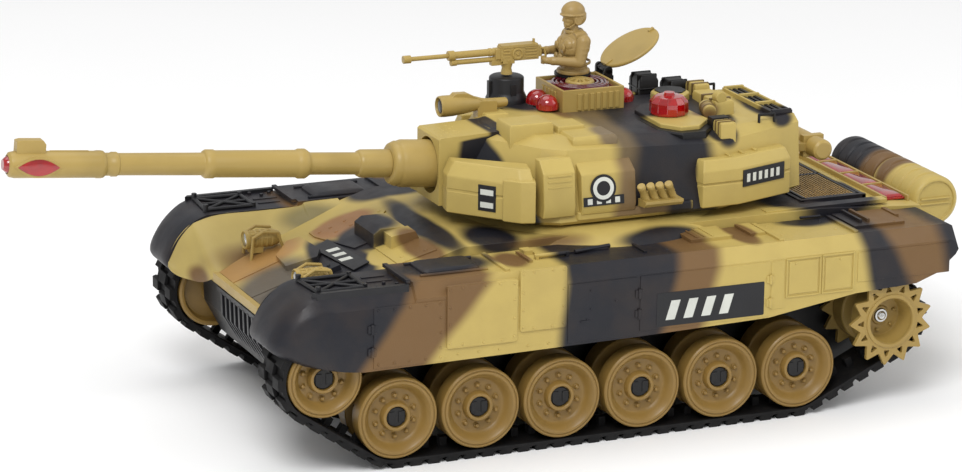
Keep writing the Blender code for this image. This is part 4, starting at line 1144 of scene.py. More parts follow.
def turret_armour():
    """Cheek wedges, side blocks and bustle packs, with their seams and louvres."""
    cheek = [(14, -25.5), (22.5, -27), (42.5, -10.5), (51, -2), (53, 4), (40, 6.3)]
    brow = [(14, -22.5), (22, -23), (38.5, -9), (46, -1.5), (47.5, 4), (38, 6.3)]
    step = [(45, -9), (52, -2.4), (54, 4), (47, 6.4)]
    louvre = [(44, 98), (53.2, 98), (54.4, 103), (53, 119), (48, 124.6), (43, 124.6)]
    badge = [(45, 98), (53.4, 98), (54.7, 102.6), (52.8, 117), (46, 121.4), (42, 121.4)]
    pack = [(40, 85), (53.5, 89), (53, 108), (42.5, 140), (30, 140.3)]
    pack_top = [(40, 87), (51, 90.5), (50.5, 107), (41, 137.5), (30, 138)]
    lower = [(51, 25), (53, 26), (53, 84), (51, 85)]
    parts, fine = [], []
    for _, hand in HANDS:
        blocks = [
            prism(cheek, "z", 97, 107.6),
            loft([flat(cheek, 108.2), flat(cheek, 114.4), flat(brow, 121)]),
            prism(step, "z", 96.6, 116.4),
            prism(louvre, "y", 8, 24),
            prism(badge, "y", 27, 54.4),
            prism(pack, "z", 95.2, 106),
            loft([flat(pack, 106.6), flat(pack, 112.4), flat(pack_top, 117.6)]),
            prism(lower, "z", 95.4, 99.5),
        ]
        seams = [prism([(x * 0.985, y) for x, y in cheek], "z", 107, 108.6)]
        for z in (112, 114.6, 117.2):
            seams.append(box(52.6, 54.3 - (z - 103) * 0.055, 10.2, 22, z, z + 0.9))
        seams.append(prism([(x * 0.985, y) for x, y in pack], "z", 105.4, 107.2))
        for k in range(3):
            y = 104 + 8 * k
            seams.append(box(35, 49 - k * 2.6, y, y + 1.6, 117, 118.4))
        parts += [sided(bm, hand) for bm in blocks]
        fine += [sided(bm, hand) for bm in seams]
    piece("turret_armour", parts, ARMOUR_PAINT, "turret", (), 0.7, 24)
    piece("turret_louvres", fine, ARMOUR_PAINT, "turret", (), 0.15)


def turret_roof():
    """Stowage boxes, plates, rolls and straps on the roof."""
    front_boxes = (
        ((9.5, 26, 3, 25), 122, 136, 0.94, 0.8),
        ((12, 26.3, 27, 41), 124.3, 133.4, 0.92, 0.8),
        ((24, 41.5, 27.7, 50.3), 120, 131.8, 0.9, 0.8),
        ((-26, -14, 8, 20), 124, 131.4, 0.92, 0.6),
    )
    rear_boxes = (
        ((-4, 14, 114, 124), 124, 135, 0.92, 0.9),
        ((-17.5, -6.5, 117, 127), 124, 133.4, 0.92, 0.9),
        ((-29, -17.8, 119, 127), 124, 135.4, 0.92, 0.9),
        ((33.6, 42.5, 103, 111), 120.5, 132, 0.92, 0.6),
    )
    parts = [tapered(rectangle(*plan), *shape) for plan, *shape in front_boxes]
    plate_plan = [(-18, 85), (-6, 76), (30, 76), (41, 84), (41, 96), (28, 108)]
    plate_plan += [(-6, 106), (-18, 98)]
    parts.append(prism(shrunk(plate_plan, 0.8, (15, 91.5)), "z", 128, 130.6))
    cx, cy = -20, 106.5
    angles = [pi / 8 + k * pi / 4 for k in range(8)]
    octagon = [(cx + 9.5 * cos(a), cy + 9.5 * sin(a)) for a in angles]
    parts.append(tapered(octagon, 124, 133.4, 0.93, 0.5))
    parts.append(rod(3.4, (9, 111.4, 132), (21, 107.6, 132), 20))
    parts.append(rod(3, (9.2, 117, 136.4), (13.6, 117.4, 136.4), 18))
    parts += [tapered(rectangle(*plan), *shape) for plan, *shape in rear_boxes]
    parts += [box(x, x + 6, 150.6, 151.8, 106, 120) for x in (-18, -8, 2, 12)]
    lid = [(-42 + 2.52 * cos(k * pi / 16), 96 + 2.52 * sin(k * pi / 16)) for k in range(32)]
    parts.append(prism(lid, "z", 127, 128.4))
    dark = [
        tapered(plate_plan, 121, 128.6, 0.97, 0.4),
        prism(shrunk(octagon, 0.8, (cx, cy)), "z", 133, 134),
        tapered(rectangle(28.6, 34, 102.5, 111.5), 120.5, 132.6, 0.94, 0.5),
    ]
    dark += [box(-25, 25, 139.4 + 2.8 * k, 140.9 + 2.8 * k, 125, 130.4) for k in range(3)]
    dark.append(box(-25, 25, 138, 148, 124, 127.8))
    for x in (-32, 32):
        dark += wire([(x, 136, 127.5), (x, 136, 131.5), (x, 128, 131.5), (x, 128, 127)], 0.7)
    tools = []
    for x, y, top in ((-42, 103, 137.4), (-37, 117, 134.6)):
        tools.append(tapered(rectangle(x - 6.5, x + 6.5, y - 5, y + 5), 120, top, 0.8, 1.4))
        tools.append(box(x - 6.9, x + 6.9, y - 5.3, y + 5.3, top - 7, top - 5.8))
        tools += [box(x + dx - 0.6, x + dx + 0.6, y - 5.3, y + 5.3, 121, top + 0.3) for dx in (-3.4, 3.4)]
    straps = []
    for places, half, y0, y1, z0, z1 in (
        ((0, 8.5), 0.8, 113.6, 124.4, 125, 135.5),
        ((36.6, 39.8), 0.4, 102.6, 111.4, 121, 132.4),
        ((-26, -21), 0.7, 118.6, 127.4, 125, 135.7),
    ):
        straps += [box(x - half, x + half, y0, y1, z0, z1) for x in places]
    for x in (12, 18):
        y = 111.4 - (x - 9) * 0.3167
        straps.append(rod(3.7, (x, y, 132), (x + 1, y - 0.32, 132), 20))
    rack = [box(-26, 26, y, y + 1.2, 125, 131) for y in (137.4, 147.6)]
    rack += [box(x - 0.9, x + 0.9, 138, 148.4, 126, 131.6) for x in (-25, -8.5, 8.5, 25)]
    piece("roof_stowage", parts, ROOF_PAINT, "turret", (), 0.6, 24)
    piece("roof_dark_parts", dark, BLACK_PLASTIC, "turret", (), 0.4, 24)
    piece("roof_tool_boxes", tools, BLACK_PLASTIC, "turret", (), 0.8)
    piece("roof_straps", straps, STRAP, "turret", (), 0.2)
    piece("bustle_rack", rack, ROOF_PAINT, "turret", (), 0.3)


def upright(a, b, z0, z1, lift, thick):
    """A plate standing on the line from a to b, lifted off it to the right of its run."""
    out = Vector((b.y - a.y, a.x - b.x)).normalized()
    p, q, back = a + out * lift, b + out * lift, out * thick
    return prism([tuple(v) for v in (p, q, q - back, p - back)], "z", z0, z1)


def turret_decals():
    """Plain plates with bars on the side block, the pack and the cheek."""
    on_block = Matrix.Translation((53.75, 37.6, 110.2)) @ Matrix.Rotation(radians(-7.5), 4, "Y")
    low, high = Vector((52.75, 109.2)), Vector((43.9, 136.4))
    c, d = Vector((35.2, -16.5)), Vector((42.2, -10.75))
    inset = (d - c).normalized() * 1.2
    plates, bars = [], []
    for _, hand in HANDS:
        for target, profile in (
            (plates, [(0, 0), (6.4, 0), (6.4, 0.5), (0, 0.5)]),
            (bars, [(3.4, 0.4), (5.2, 0.4), (5.2, 0.7), (3.4, 0.7)]),
        ):
            target.append(sided(moved(turned(profile, "x", (0, 0, 0), 40), on_block), hand))
        solids = [
            prism([(53, 101.4), (54.95, 102.4), (54.45, 106.6), (52.5, 106)], "y", 27.6, 48),
            upright(low.lerp(high, 0.03), low.lerp(high, 0.97), 103.4, 111.4, 0.3, 0.5),
            upright(c, d, 100.4, 112.6, 0.25, 0.6),
        ]
        plates += [sided(solid, hand) for solid in solids]
        bar = [(54.2, 103), (55.05, 103.2), (54.7, 105.8), (53.8, 105.6)]
        solids = [prism(bar, "y", y, y + 2.4) for y in (29.6 + 4.6 * k for k in range(4))]
        for t in (0.11 + 0.135 * k for k in range(6)):
            solids.append(upright(low.lerp(high, t), low.lerp(high, t + 0.07), 105.4, 109.4, 0.45, 0.5))
        solids += [upright(c + inset, d - inset, z, z + 2.6, 0.4, 0.6) for z in (102, 108)]
        bars += [sided(solid, hand) for solid in solids]
    piece("turret_decal_plates", plates, SLATE_PLASTIC, "turret", (), 0)
    piece("turret_decal_bars", bars, PALE, "turret", (), 0)


def along_gun(bm):
    """Put a piece that was made level about the trunnion at the gun's rest angle."""
    return moved(bm, Matrix.Translation(TRUNNION) @ Matrix.Rotation(radians(-GUN_TILT), 4, "X"))


def gun():
    """Mantlet collar, stepped barrel, muzzle block with its sight and the red lenses."""
    collar = [
        (0, -9), (9, -9), (11, -4), (11, 6), (11.1, 8), (11.1, 21), (10.6, 22.6),
        (10.4, 23.4), (10.5, 24), (9.4, 26.4), (8.4, 27), (0, 27),
    ]
    collar = along_gun(turned(collar, "y", count=64))
    piece("gun_collar", [collar], SAND_PLASTIC, "gun", ["gun_mantlet"])
    barrel = [
        (0, 27.2), (6.6, 27.2), (6.5, 41), (5.9, 42.4), (5.3, 42.8), (5.15, 43.4), (5.15, 65.6),
        (5.5, 66.6), (6.2, 67.4), (6.9, 68.6), (6.9, 71.6), (6.5, 72.4), (6.3, 73.2), (6.2, 112),
        (6.6, 112.8), (6.6, 116.4), (6, 117.4), (5.3, 117.8), (5.15, 118.4), (5.05, 158), (5.6, 158.6),
        (5.6, 161), (5.2, 161.6), (5.2, 164), (6.1, 165), (6.3, 166), (6.3, 168), (6.1, 168.8),
        (6.1, 206), (5.6, 208.4), (4.2, 209.4), (3.9, 208.6), (0, 208.4),
    ]
    muzzle = -211.9
    sight = [(6, 5), (6, 11), (8, 11.5), (18, 11.5), (19.5, 9.6), (19.5, 5)]
    rail = [(22, 5), (22, 6.4), (40, 6.4), (40, 5)]
    parts = [along_gun(turned(barrel, "y", count=56))]
    for outline, half in ((sight, 2.6), (rail, 0.6)):
        parts.append(along_gun(prism([(muzzle + y, z) for y, z in outline], "x", -half, half)))
    middle = muzzle + 15.6
    eye = [(20 * t - 10, 3.9 * sin(pi * t) ** 0.9) for t in (k / 10 for k in range(11))]
    eye += [(y, -z) for y, z in reversed(eye[1:-1])]
    for hand in (1, -1):
        low, high = sorted((hand * 4.6, hand * 6.35))
        parts.append(along_gun(prism([(middle + y * 1.12, z * 1.22) for y, z in eye], "x", low, high)))
    piece("gun_tube", parts, SAND_PLASTIC, "gun", ["gun_barrel"], 0.2)
    glass = [(0, -3.2), (3.8, -3.2), (3.6, -2), (2.4, -0.6), (0, 0)]
    lenses = [along_gun(turned([(r, h - muzzle) for r, h in glass], "y", count=32))]
    for hand in (1, -1):
        rows = [
            [(hand * x, middle + y * s, z * s) for y, z in eye]
            for x, s in ((5.6, 1), (6.6, 0.96), (6.95, 0.6))
        ]
        lenses.append(along_gun(loft(rows)))
    piece("muzzle_lenses", lenses, RED_LENS, "gun", ["muzzle_lens"], 0)


def machine_gun():
    """The heavy machine gun on its post, and the dark stepped pedestal."""
    x, y, z = -41, 30, 143.4
    top = z + 7
    pedestal = "machine_gun_pedestal"
    foot = Box(pedestal).z0
    roof = roof_z(y)
    stand = [(0, foot), (10, foot), (10, roof + 1.6), (9.6, roof + 2.4), (8.8, roof + 4.2), (8.4, roof + 5.2)]
    stand += [(8.4, z - 1.8), (8.2, z - 1.2), (7.4, z - 0.7), (0, z - 0.7)]
    parts = [turned(stand, "z", (x, y, 0), 56), box(x - 1.4, x + 1.4, y - 9.6, y - 7.8, roof, z - 2.6)]
    parts.append(box(x + 6.8, x + 8.8, y - 1.5, y + 1.5, roof + 1, z - 3.4))
    piece(f"{pedestal}_drum", parts, SLATE_PLASTIC, "turret", [pedestal], 0.2)
    bore = top + 4.2
    parts = [
        turned(
            [(0, z), (2.9, z), (2.7, z + 1.2), (2.3, z + 3), (2.9, z + 5), (3.2, z + 7.4), (0, z + 7.4)],
            "z", (x, y, 0), 28
        ),
        box(x - 2.6, x + 2.6, y - 4, y + 15.6, top - 0.4, top + 6.6),
        box(x - 2.9, x + 2.9, y - 3.4, y + 15, top + 6, top + 7.4),
        box(x - 2.2, x + 2.2, y - 6.6, y - 3.8, top + 0.8, top + 5.8),
        box(x - 2.9, x + 2.9, y - 3, y + 3, top - 1.6, top + 2),
        box(x - 1.6, x + 1.6, y - 8.4, y - 1, top - 2.2, top + 1),
        box(x - 1.9, x + 1.9, y + 15.4, y + 17.4, top + 0.6, top + 5.6),
        rod(1.75, (x, y - 5, bore), (x, y - 29, bore), 20),
        rod(2.35, (x, y - 27.2, bore), (x, y - 30.4, bore), 20),
        rod(2, (x, y - 8, bore), (x, y - 9.6, bore), 20),
        rod(1.1, (x, y - 30, bore), (x, y - 51, bore), 16),
        rod(1.9, (x, y - 49.4, bore), (x, y - 53.2, bore), 20),
        rod(1.25, (x, y - 4, top + 0.7), (x, y - 28, top + 0.7), 16),
        rod(1.6, (x, y - 26, top + 0.7), (x, y - 29, top + 0.7), 16),
        rod(0.9, (x, y - 28.6, top + 0.4), (x, y - 28.6, bore), 10),
        turned(
            [(0, x + 2.4), (2.9, x + 2.4), (2.9, x + 3.3), (2.1, x + 3.5), (1.9, x + 3), (0.8, x + 3),
             (0.7, x + 3.6), (0, x + 3.6)], "x", (0, y + 4.4, top + 3), 32
        ),
        box(x - 0.6, x + 0.6, y + 13.4, y + 14.4, top + 7.2, top + 9.2),
    ]
    for k in range(4):
        parts.append(box(x + 2.4, x + 3, y + 8.4, y + 14.6, top + 0.6 + 1.5 * k, top + 1.3 + 1.5 * k))
    for k in range(3):
        parts.append(box(x + 2.4, x + 3, y - 2.8, y + 0.6, top + 1.4 + 1.6 * k, top + 2.1 + 1.6 * k))
    for dx in (-2.6, 2.6):
        grip = ((0.5, 16.8, 4.6), (1, 18.4, 4.8), (1, 19.2, 0.6), (0.5, 17.2, 0.2))
        parts += wire([(x + dx * out, y + back, top + up) for out, back, up in grip], 0.55)
    piece("machine_gun_body", parts, SAND_PLASTIC, "machine_gun", ["machine_gun"], 0.2)


def signal_box():
    """The ribbed box, the clear ring in its top and the spoked cover inside the ring."""
    at = Box("signal_box")
    x, y, top = at.cx, at.cy, at.z1
    outer, inner, well = (
        rectangle(at.x0 + d, at.x1 - d, at.y0 + d, at.y1 - d) for d in (0, 1.4, 1.8)
    )
    parts = [loft([flat(outer, at.z0), flat(outer, top), flat(inner, top), flat(inner, top - 2.4)])]
    for k in range(7):
        low = at.y0 + 7.6 + 3.25 * k
        for x0, x1 in ((at.x1 - 0.5, at.x1 + 0.7), (at.x0 - 0.7, at.x0 + 0.5)):
            parts.append(box(x0, x1, low, low + 2.1, top - 10, top - 2))
    for k in range(5):
        low = at.x0 + 8 + 3.6 * k
        parts.append(box(low, low + 2.2, at.y0 - 0.6, at.y0 + 0.4, top - 9, top - 2))
    piece("signal_box_case", parts, SAND_PLASTIC, "turret", ["signal_box"], 0.3)
    clear = [prism(well, "z", top - 2.2, top - 1.1)]
    ridge = ((-0.9, -1.2), (-0.9, -0.2), (-0.4, 0.3), (0.4, 0.3), (0.9, -0.2), (0.9, -1.2))
    for radius in (13, 10.9, 8.6):
        clear.append(turned([(radius + r, h) for r, h in ridge], "z", (x, y, top), 64))
    piece("signal_ring", clear, PURPLE_LENS, "turret", ["light_ring"], 0.15)
    dome = [
        (0, -1.2), (7, -1.2), (7, 0), (6.6, 0.7), (5.6, 1), (5.4, 0.4), (3.2, 0.4), (3, 1.7), (1.6, 2.1),
        (0, 2.2)
    ]
    parts = [turned(dome, "z", (x, y, top), 56)]
    for k in range(8):
        spoke = prism([(2.4, -0.2), (6.4, -0.2), (6.4, 0.9), (2.6, 1.9)], "y", -0.75, 0.75)
        parts.append(moved(spoke, Matrix.Translation((x, y, top)) @ Matrix.Rotation(k * pi / 4, 4, "Z")))
    piece("fan_cover_spokes", parts, SAND_PLASTIC, "turret", ["fan_cover"], 0.2)


def lamps():
    """The warning domes, the large beacon and the gun's searchlight."""
    for number in (1, 2, 3):
        node = f"warning_dome_{number}"
        at = Box(node)
        r = (at.x1 - at.x0) / 2 * 1.12
        dome = [(0, 0), (r, 0), (r, 2.2)]
        dome += [(r * cos(a), 2.2 + (r - 0.6) * sin(a)) for a in (k * pi / 20 for k in range(1, 10))]
        dome.append((0, 2.2 + r - 0.6))
        parts = [turned(dome, "z", (at.cx, at.cy, at.z0), 40)]
        for k in range(10):
            a = k * pi / 5
            foot = Vector((at.cx + r * 0.98 * cos(a), at.cy + r * 0.98 * sin(a), at.z0))
            parts.append(rod(0.35, foot, foot + Vector((0, 0, 2.6)), 8))
        piece(f"{node}_lens", parts, RED_LENS, "turret", [node], 0)
    at = Box("beacon_lens")
    body = [
        (0, 0), (8.8, 0), (9.1, 0.7), (9.1, 5.6), (8.8, 6.2), (7, 8.2), (6.4, 8.5), (2.8, 8.8), (2.6, 10.2),
        (0, 10.5)
    ]
    parts = [turned(body, "z", (at.cx, at.cy, at.z0), 12)]
    for k in range(12):
        a = pi * k / 6
        low, middle, high = (
            (at.cx + r * cos(a), at.cy + r * sin(a), at.z0 + up) for r, up in ((9, 0.8), (8.8, 6), (6.6, 8.3))
        )
        parts += [rod(0.3, low, middle, 6), rod(0.3, middle, high, 6)]
    piece("beacon_faceted_lens", parts, RED_LENS, "turret", ["beacon_lens"], 0, 12)
    x, y, z = -22, -4, 135.4
    body = [
        (0, -15.6), (1.9, -15.6), (2.4, -13), (3.4, -10), (4.4, -4), (5, 2), (5.1, 6.4), (4.9, 8.6),
        (4.3, 8.9), (3.9, 7.6), (0, 7.2)
    ]
    parts = [turned(body, "y", (x, y, z), 40)]
    sunk = roof_z(y + 15) - 2.4
    foot = [(y + 10, sunk), (y + 10, z + 1), (y + 12, z + 1.6), (y + 20, z + 1), (y + 20, sunk)]
    brow = [(y - 3, z + 4.2), (y - 1, z + 5.9), (y + 5, z + 5.7), (y + 13, z + 1.6)]
    parts += [prism(foot, "x", x - 3, x + 3), prism(brow, "x", x - 2.2, x + 2.2)]
    parts.append(rod(2.6, (x, y + 14, z - 0.6), (x - 4, y + 27, z - 1.6), 20, 2.2))
    piece("searchlight_housing", parts, SAND_PLASTIC, "turret", ["searchlight"], 0.25)
    glass = turned([(0, 8.6), (2.2, 8.4), (3.4, 7.9), (3.9, 7.3), (0, 7.2)], "y", (x, y, z), 40)
    piece("searchlight_lens", [glass], DARK_GLASS, "turret")


def hatch():
    """The open lid with its hinge arm, and the dark block that holds the pin."""
    x, y, z = -42, 81.5, 141.8
    turn = Matrix.Translation((x, y, z)) @ Matrix.Rotation(radians(30), 4, "X")
    disc = [
        (0, 0.5), (13.2, 0.5), (13.7, 0), (15.2, 0), (15.6, 0.4), (15.6, 1.3), (15.1, 1.8), (12, 2),
        (0, 2.6)
    ]
    parts = [turned(disc, "z", (0, 16.2, 0), 72)]
    parts += [box(-1, 1, 28.4, 31.4, 0.6, 2.8), box(-3, 3, 0.8, 5, 1.4, 2.6)]
    parts = [moved(part, turn) for part in parts]
    piece("hatch_lid_disc", parts, SAND_PLASTIC, "hatch_lid", ["hatch_lid"], 0.2)
    arms = [box(x0, x0 + 2.2, -1.4, 7, -0.7, 1.4) for x0 in (-3.6, 1.4)]
    arms = [moved(part, turn) for part in arms + [rod(1.5, (-3.7, 0, 0), (3.7, 0, 0), 20)]]
    piece("hatch_lid_arms", arms, BLACK_PLASTIC, "hatch_lid", (), 0.2)
    at = Box("hatch_hinge_block")
    parts = [box(at.x0, at.x1, at.y0, at.y1, at.z0, at.z1 - 0.4)]
    for dx in (-5.2, 5.2):
        parts.append(box(x + dx - 0.9, x + dx + 0.9, y - 2, y + 2, at.z1 - 2, z + 0.4))
        parts.append(rod(2, (x + dx - 0.9, y, z), (x + dx + 0.9, y, z), 20))
    piece("hatch_hinge_lugs", parts, BLACK_PLASTIC, "turret", ["hatch_hinge_block"], 0.25)


def launchers():
    """Four short tubes on a shelf on each side, and the wading tube behind the bustle."""
    shelf = [(52.6, 99.6), (59.4, 100.4), (61, 102), (61, 103.4), (52.6, 103.4)]
    barrel = [
        (0, -1), (2, -1), (2, 0.6), (1.75, 1), (1.75, 7.4), (1.95, 7.8), (1.95, 9.6), (1.7, 10),
        (0, 10.1),
    ]
    lean = Matrix.Rotation(radians(22), 4, "Y") @ Matrix.Rotation(radians(28), 4, "X")
    for hand_name, hand in HANDS:
        node = f"{hand_name}_smoke_launcher"
        parts = [prism(shelf, "y", 56, 75.4), box(52.6, 54.2, 57, 74, 103, 106.5)]
        for i in range(4):
            place = Matrix.Translation((56.4, 58.6 + 4.6 * i, 103))
            parts.append(moved(turned(barrel, "z", (0, 0, 0), 24), place @ lean))
        piece(f"{node}_tubes", parts, SAND_PLASTIC, "turret", [node], 0.2, hand=hand)
    at = Box("snorkel_tube")
    r = 5
    y, z = at.y1 - r, at.cz
    half_tube = [(r, 1), (r, 20.4), (r - 0.5, 20.8), (r - 0.5, 22), (r, 22.4), (r, 31), (3.8, 32), (0, 32)]
    groove = [(r - 0.5, -0.6), (r - 0.5, 0.6)]
    tube = [(radius, -x) for radius, x in reversed(half_tube)] + groove + half_tube
    parts = [turned(tube, "x", (0, y, z), 40)]
    for x in (-20, 20):
        parts.append(box(x - 3, x + 3, at.y0, y, z - 2, z + 2))
        parts.append(box(x - 2, x + 2, y - 5.6, y + 5.3, z - 5.3, z + 5.3))
    piece("snorkel_tube_body", parts, SAND_PLASTIC, "turret", ["snorkel_tube"], 0.3)


def capsule(start, end, first, last):
    """A limb between two points with round ends."""
    return [rod(first, start, end, 16, last), ball(start, (first,) * 3), ball(end, (last,) * 3)]


def commander():
    """The figure from the waist up: helmet with ear cups, vest over a jacket, arms forward."""
    at = Vector((-38, 63.5, Box("commander_figure").z0))
    parts = [
        ball((0, 0, 3), (7.6, 6.6, 5.4)), ball((0, 0.3, 9), (7.6, 6.6, 6.4)),
        ball((0, 0.5, 14.2), (8.8, 7.2, 6)), ball((0, 1, 17.4), (8.4, 5.6, 4)),
        rod(2.9, (0, 0.2, 17), (0, -0.8, 23.4), 20, 2.6),
        ball((-3.6, -3.2, 14.4), (3.6, 3.9, 3.4)), ball((3.6, -3.2, 14.4), (3.6, 3.9, 3.4)),
    ]
    parts.append(turned([(0, 0), (8, 0), (8, 1.6), (7.4, 1.9), (0, 1.9)], "z", (0, 0, 0), 40))
    for hand, wrist in ((1, (2, -13.4, 7)), (-1, (-5.2, -13.2, 10.4))):
        shoulder, elbow = (hand * 8.8, 1.2, 16.6), (hand * 10.6, -1.4, 7 if hand > 0 else 9)
        parts += capsule(shoulder, elbow, 3.5, 2.7)
        parts += capsule(elbow, wrist, 2.7, 1.8)
        cuff = Vector(wrist)
        back = (Vector(elbow) - cuff).normalized()
        parts += [rod(2.15, cuff + back * 1, cuff + back * 2.6, 16)]
        parts.append(ball(cuff - back * 1.2, (1.7, 2, 1.7)))
        parts.append(ball(cuff - back * 2.4 + Vector((0, 0, 0.3)), (1.5, 1.6, 1.4)))
        for k in range(4):
            knuckle = cuff - back * 2.9 + Vector((hand * 0.6, -0.2, 1.1 - 0.8 * k))
            parts += capsule(knuckle, knuckle + Vector((-hand * 1.4, -0.6, 0)), 0.52, 0.45)
        thumb = cuff - back * 1.2 + Vector((-hand * 1.2, 0, 1.1))
        parts += capsule(thumb, thumb - back * 1.4 + Vector((0, 0, 0.4)), 0.6, 0.48)
        for k in range(3):
            crease = Vector(shoulder).lerp(Vector(elbow), 0.3 + 0.25 * k)
            parts.append(ball(crease, (3.5 - 0.25 * k, 3.4 - 0.25 * k, 0.75)))
    ring = turned(
        [(0, -1.9), (8.8, -1.9), (8.8, -0.5), (8.2, 0), (0, 0)], "z", at + Vector((-2.6, 0.8, 0)), 48
    )
    piece("commander_hatch_ring", [ring], BLACK_PLASTIC, "turret", (), 0.2)
    piece("commander_body", parts, FIGURE, "turret", ["commander_figure"])
    vest = [
        ball((0, 0.1, 12.4), (8.5, 7.8, 6.6)), rod(2.3, (-5.2, -2.2, 18.4), (-4.8, 3.2, 19), 14),
        rod(2.3, (5.2, -2.2, 18.4), (4.8, 3.2, 19), 14),
    ]
    vest += [ball((x, -6.9, 7.6), (1.9, 1.2, 1.8), 12, 8) for x in (-4.8, 0, 4.8)]
    vest += [ball((x, -7.2, 13.2), (1.6, 0.9, 2.1), 12, 8) for x in (-4, 4)]
    vest.append(turned([(3.3, 0), (4.5, 0.4), (4.7, 1.5), (4.1, 2.3), (3, 1.9)], "z", (0, 0, 19), 32))
    vest.append(rod(0.4, (0, -7.7, 8), (0, -6.6, 17.6), 8))
    vest.append(turned([(7.7, 0), (8.2, 0.3), (8.2, 1.5), (7.7, 1.8)], "z", (0, 0.2, 4.2), 40))
    piece("commander_vest", vest, FIGURE, "turret")
    head_z = 26.6
    head = [
        ball((0, -1.4, head_z), (3.4, 4.1, 4.5), 24, 16),
        ball((0, -2.8, head_z - 2.6), (2.5, 2.5, 2.2), 20, 12),
        ball((0, -5.15, head_z - 0.5), (0.62, 0.95, 1.15), 14, 10),
        ball((0, -5.5, head_z - 1.1), (0.75, 0.7, 0.5), 12, 8),
        ball((0, -4.75, head_z + 1), (2.3, 0.6, 0.42), 14, 8),
        ball((0, -4.85, head_z - 2.15), (1.15, 0.5, 0.3), 12, 8),
        ball((0, -4.75, head_z - 2.6), (1, 0.5, 0.32), 12, 8),
        ball((0, -4.3, head_z - 3.9), (1.2, 0.9, 0.8), 12, 8),
        ball((-1.7, -3.9, head_z - 0.9), (0.95, 0.8, 0.8), 12, 8),
        ball((1.7, -3.9, head_z - 0.9), (0.95, 0.8, 0.8), 12, 8),
        ball((-1.35, -4.6, head_z + 0.25), (0.62, 0.35, 0.32), 12, 8),
        ball((1.35, -4.6, head_z + 0.25), (0.62, 0.35, 0.32), 12, 8),
    ]
    piece("commander_head", head, FIGURE, "turret")
    helmet = [
        ball((0, -0.5, head_z + 3), (5, 5.9, 5), 28, 18),
        ball((0, 1.8, head_z + 0.6), (4.7, 4.3, 4.6), 24, 14),
        rod(2.1, (-5, 0.2, head_z - 0.6), (-3.4, 0.2, head_z - 0.6), 24),
        rod(2.1, (3.4, 0.2, head_z - 0.6), (5, 0.2, head_z - 0.6), 24),
    ]
    peak = turned([(4.8, 0), (6.6, -0.5), (6.6, 0.1), (4.8, 0.9)], "z", (0, -0.5, head_z + 2), 40)
    bmesh.ops.scale(peak, vec=(0.82, 1, 1), verts=peak.verts)
    helmet.append(peak)
    helmet.append(box(-1.8, 1.8, -6, -4.9, head_z + 3, head_z + 4.4))
    strap = ((4.2, -0.6, -1.8), (3.1, -3.6, -3.9), (0, -4.4, -4.75), (-3.1, -3.6, -3.9), (-4.2, -0.6, -1.8))
    helmet += wire([(x, y, head_z + z) for x, y, z in strap], 0.38)
    piece("commander_helmet", helmet, FIGURE, "turret")
    for name, voxel, rounds in (("body", 0.3, 4), ("vest", 0.3, 2), ("head", 0.22, 3), ("helmet", 0.25, 2)):
        worn = bpy.data.objects[f"commander_{name}"]
        for vertex in worn.data.vertices:
            vertex.co += at * MM
        skin = worn.modifiers.new("one_skin", "REMESH")
        skin.mode = "VOXEL"
        skin.voxel_size = voxel * MM
        skin.use_smooth_shade = True
        soften = worn.modifiers.new("soften", "SMOOTH")
        soften.iterations = rounds


TURRET_PAINT = sprayed(
    "turret_paint", SAND,
    [
        ("cut", (0, 3, 112), (0, -1, -0.4), 3, SLATE),
        ("blob", (2, 5, 132), (24, 4, 4), 0.3, SLATE),
        ("blob", (-34, 34, 131), (16, 14, 5), 0.5, SLATE),
        ("blob", (-24, 47, 131), (24, 7, 6), 0.5, BROWN),
        ("cut", (0, 47, 112), (0, 1, -0.1), 9, srgb(100, 84, 58)),
        ("cut", (0, 60, 112), (0.1, 1, -0.2), 9, SLATE),
        ("cut", (0, 103, 112), (0.1, 1, 0.1), 8, SAND),
        ("blob", (50, 50, 94), (14, 22, 3.6), 0.4, SAND),
        ("blob", (34, 106, 126), (14, 8, 7), 0.4, SLATE),
        ("blob", (8, 112, 128), (24, 8, 4), 0.4, SLATE),
        ("blob", (-30, 112, 127), (20, 20, 6), 0.4, SLATE),
        ("blob", (12, 141, 128), (26, 9, 4), 0.4, SLATE),
    ],
    4,
)
ARMOUR_PAINT = sprayed(
    "armour_paint", SAND,
    [
        ("cut", (0, 45.5, 110), (0, 1, -0.1), 7, srgb(120, 98, 66)),
        ("cut", (0, 72, 100), (0, 1, 0), 6, SLATE),
        ("cut", (0, 84.6, 105), (0, 1, 0), 3, SAND),
        ("blob", (40, 86, 112), (10, 6, 8), 0.4, SLATE),
    ],
    3,
)
ROOF_PAINT = sprayed(
    "roof_paint", SAND,
    [
        ("blob", (36, 50, 132), (14, 10, 8), 0.5, srgb(120, 104, 78)),
        ("blob", (-2, 84, 131), (16, 12, 5), 0.4, SLATE),
        ("blob", (26, 140, 128), (14, 16, 6), 0.4, SLATE),
        ("blob", (16, 108, 131), (7, 7, 5), 0.6, BROWN),
    ],
    3,
)
MANTLET_PAINT = sprayed(
    "mantlet_paint", SAND,
    [
        ("cut", (0, -18.5, 112), (0, 1, -0.12), 4, SLATE),
        ("cut", (0, -10, 128.4), (0, -0.1, 1), 1.2, SAND),
        ("cut", (0, -2, 112), (0, 1, 0), 3, SLATE),
    ],
    1.5,
)
STRAP = plastic("strap", srgb(104, 84, 48), 0.5)
FIGURE = plastic("figure_plastic", srgb(158, 132, 80), 0.36, 0.1, 0.9)
DARK_GLASS = plastic("dark_glass", srgb(46, 42, 40), 0.1, 0)
PURPLE_LENS = lens("purple_lens", srgb(104, 18, 38))
turret_body()
turret_armour()
turret_roof()
turret_decals()
gun()
machine_gun()
signal_box()
lamps()
hatch()
launchers()
commander()
repaint(BLACK_PLASTIC, "turret_base")
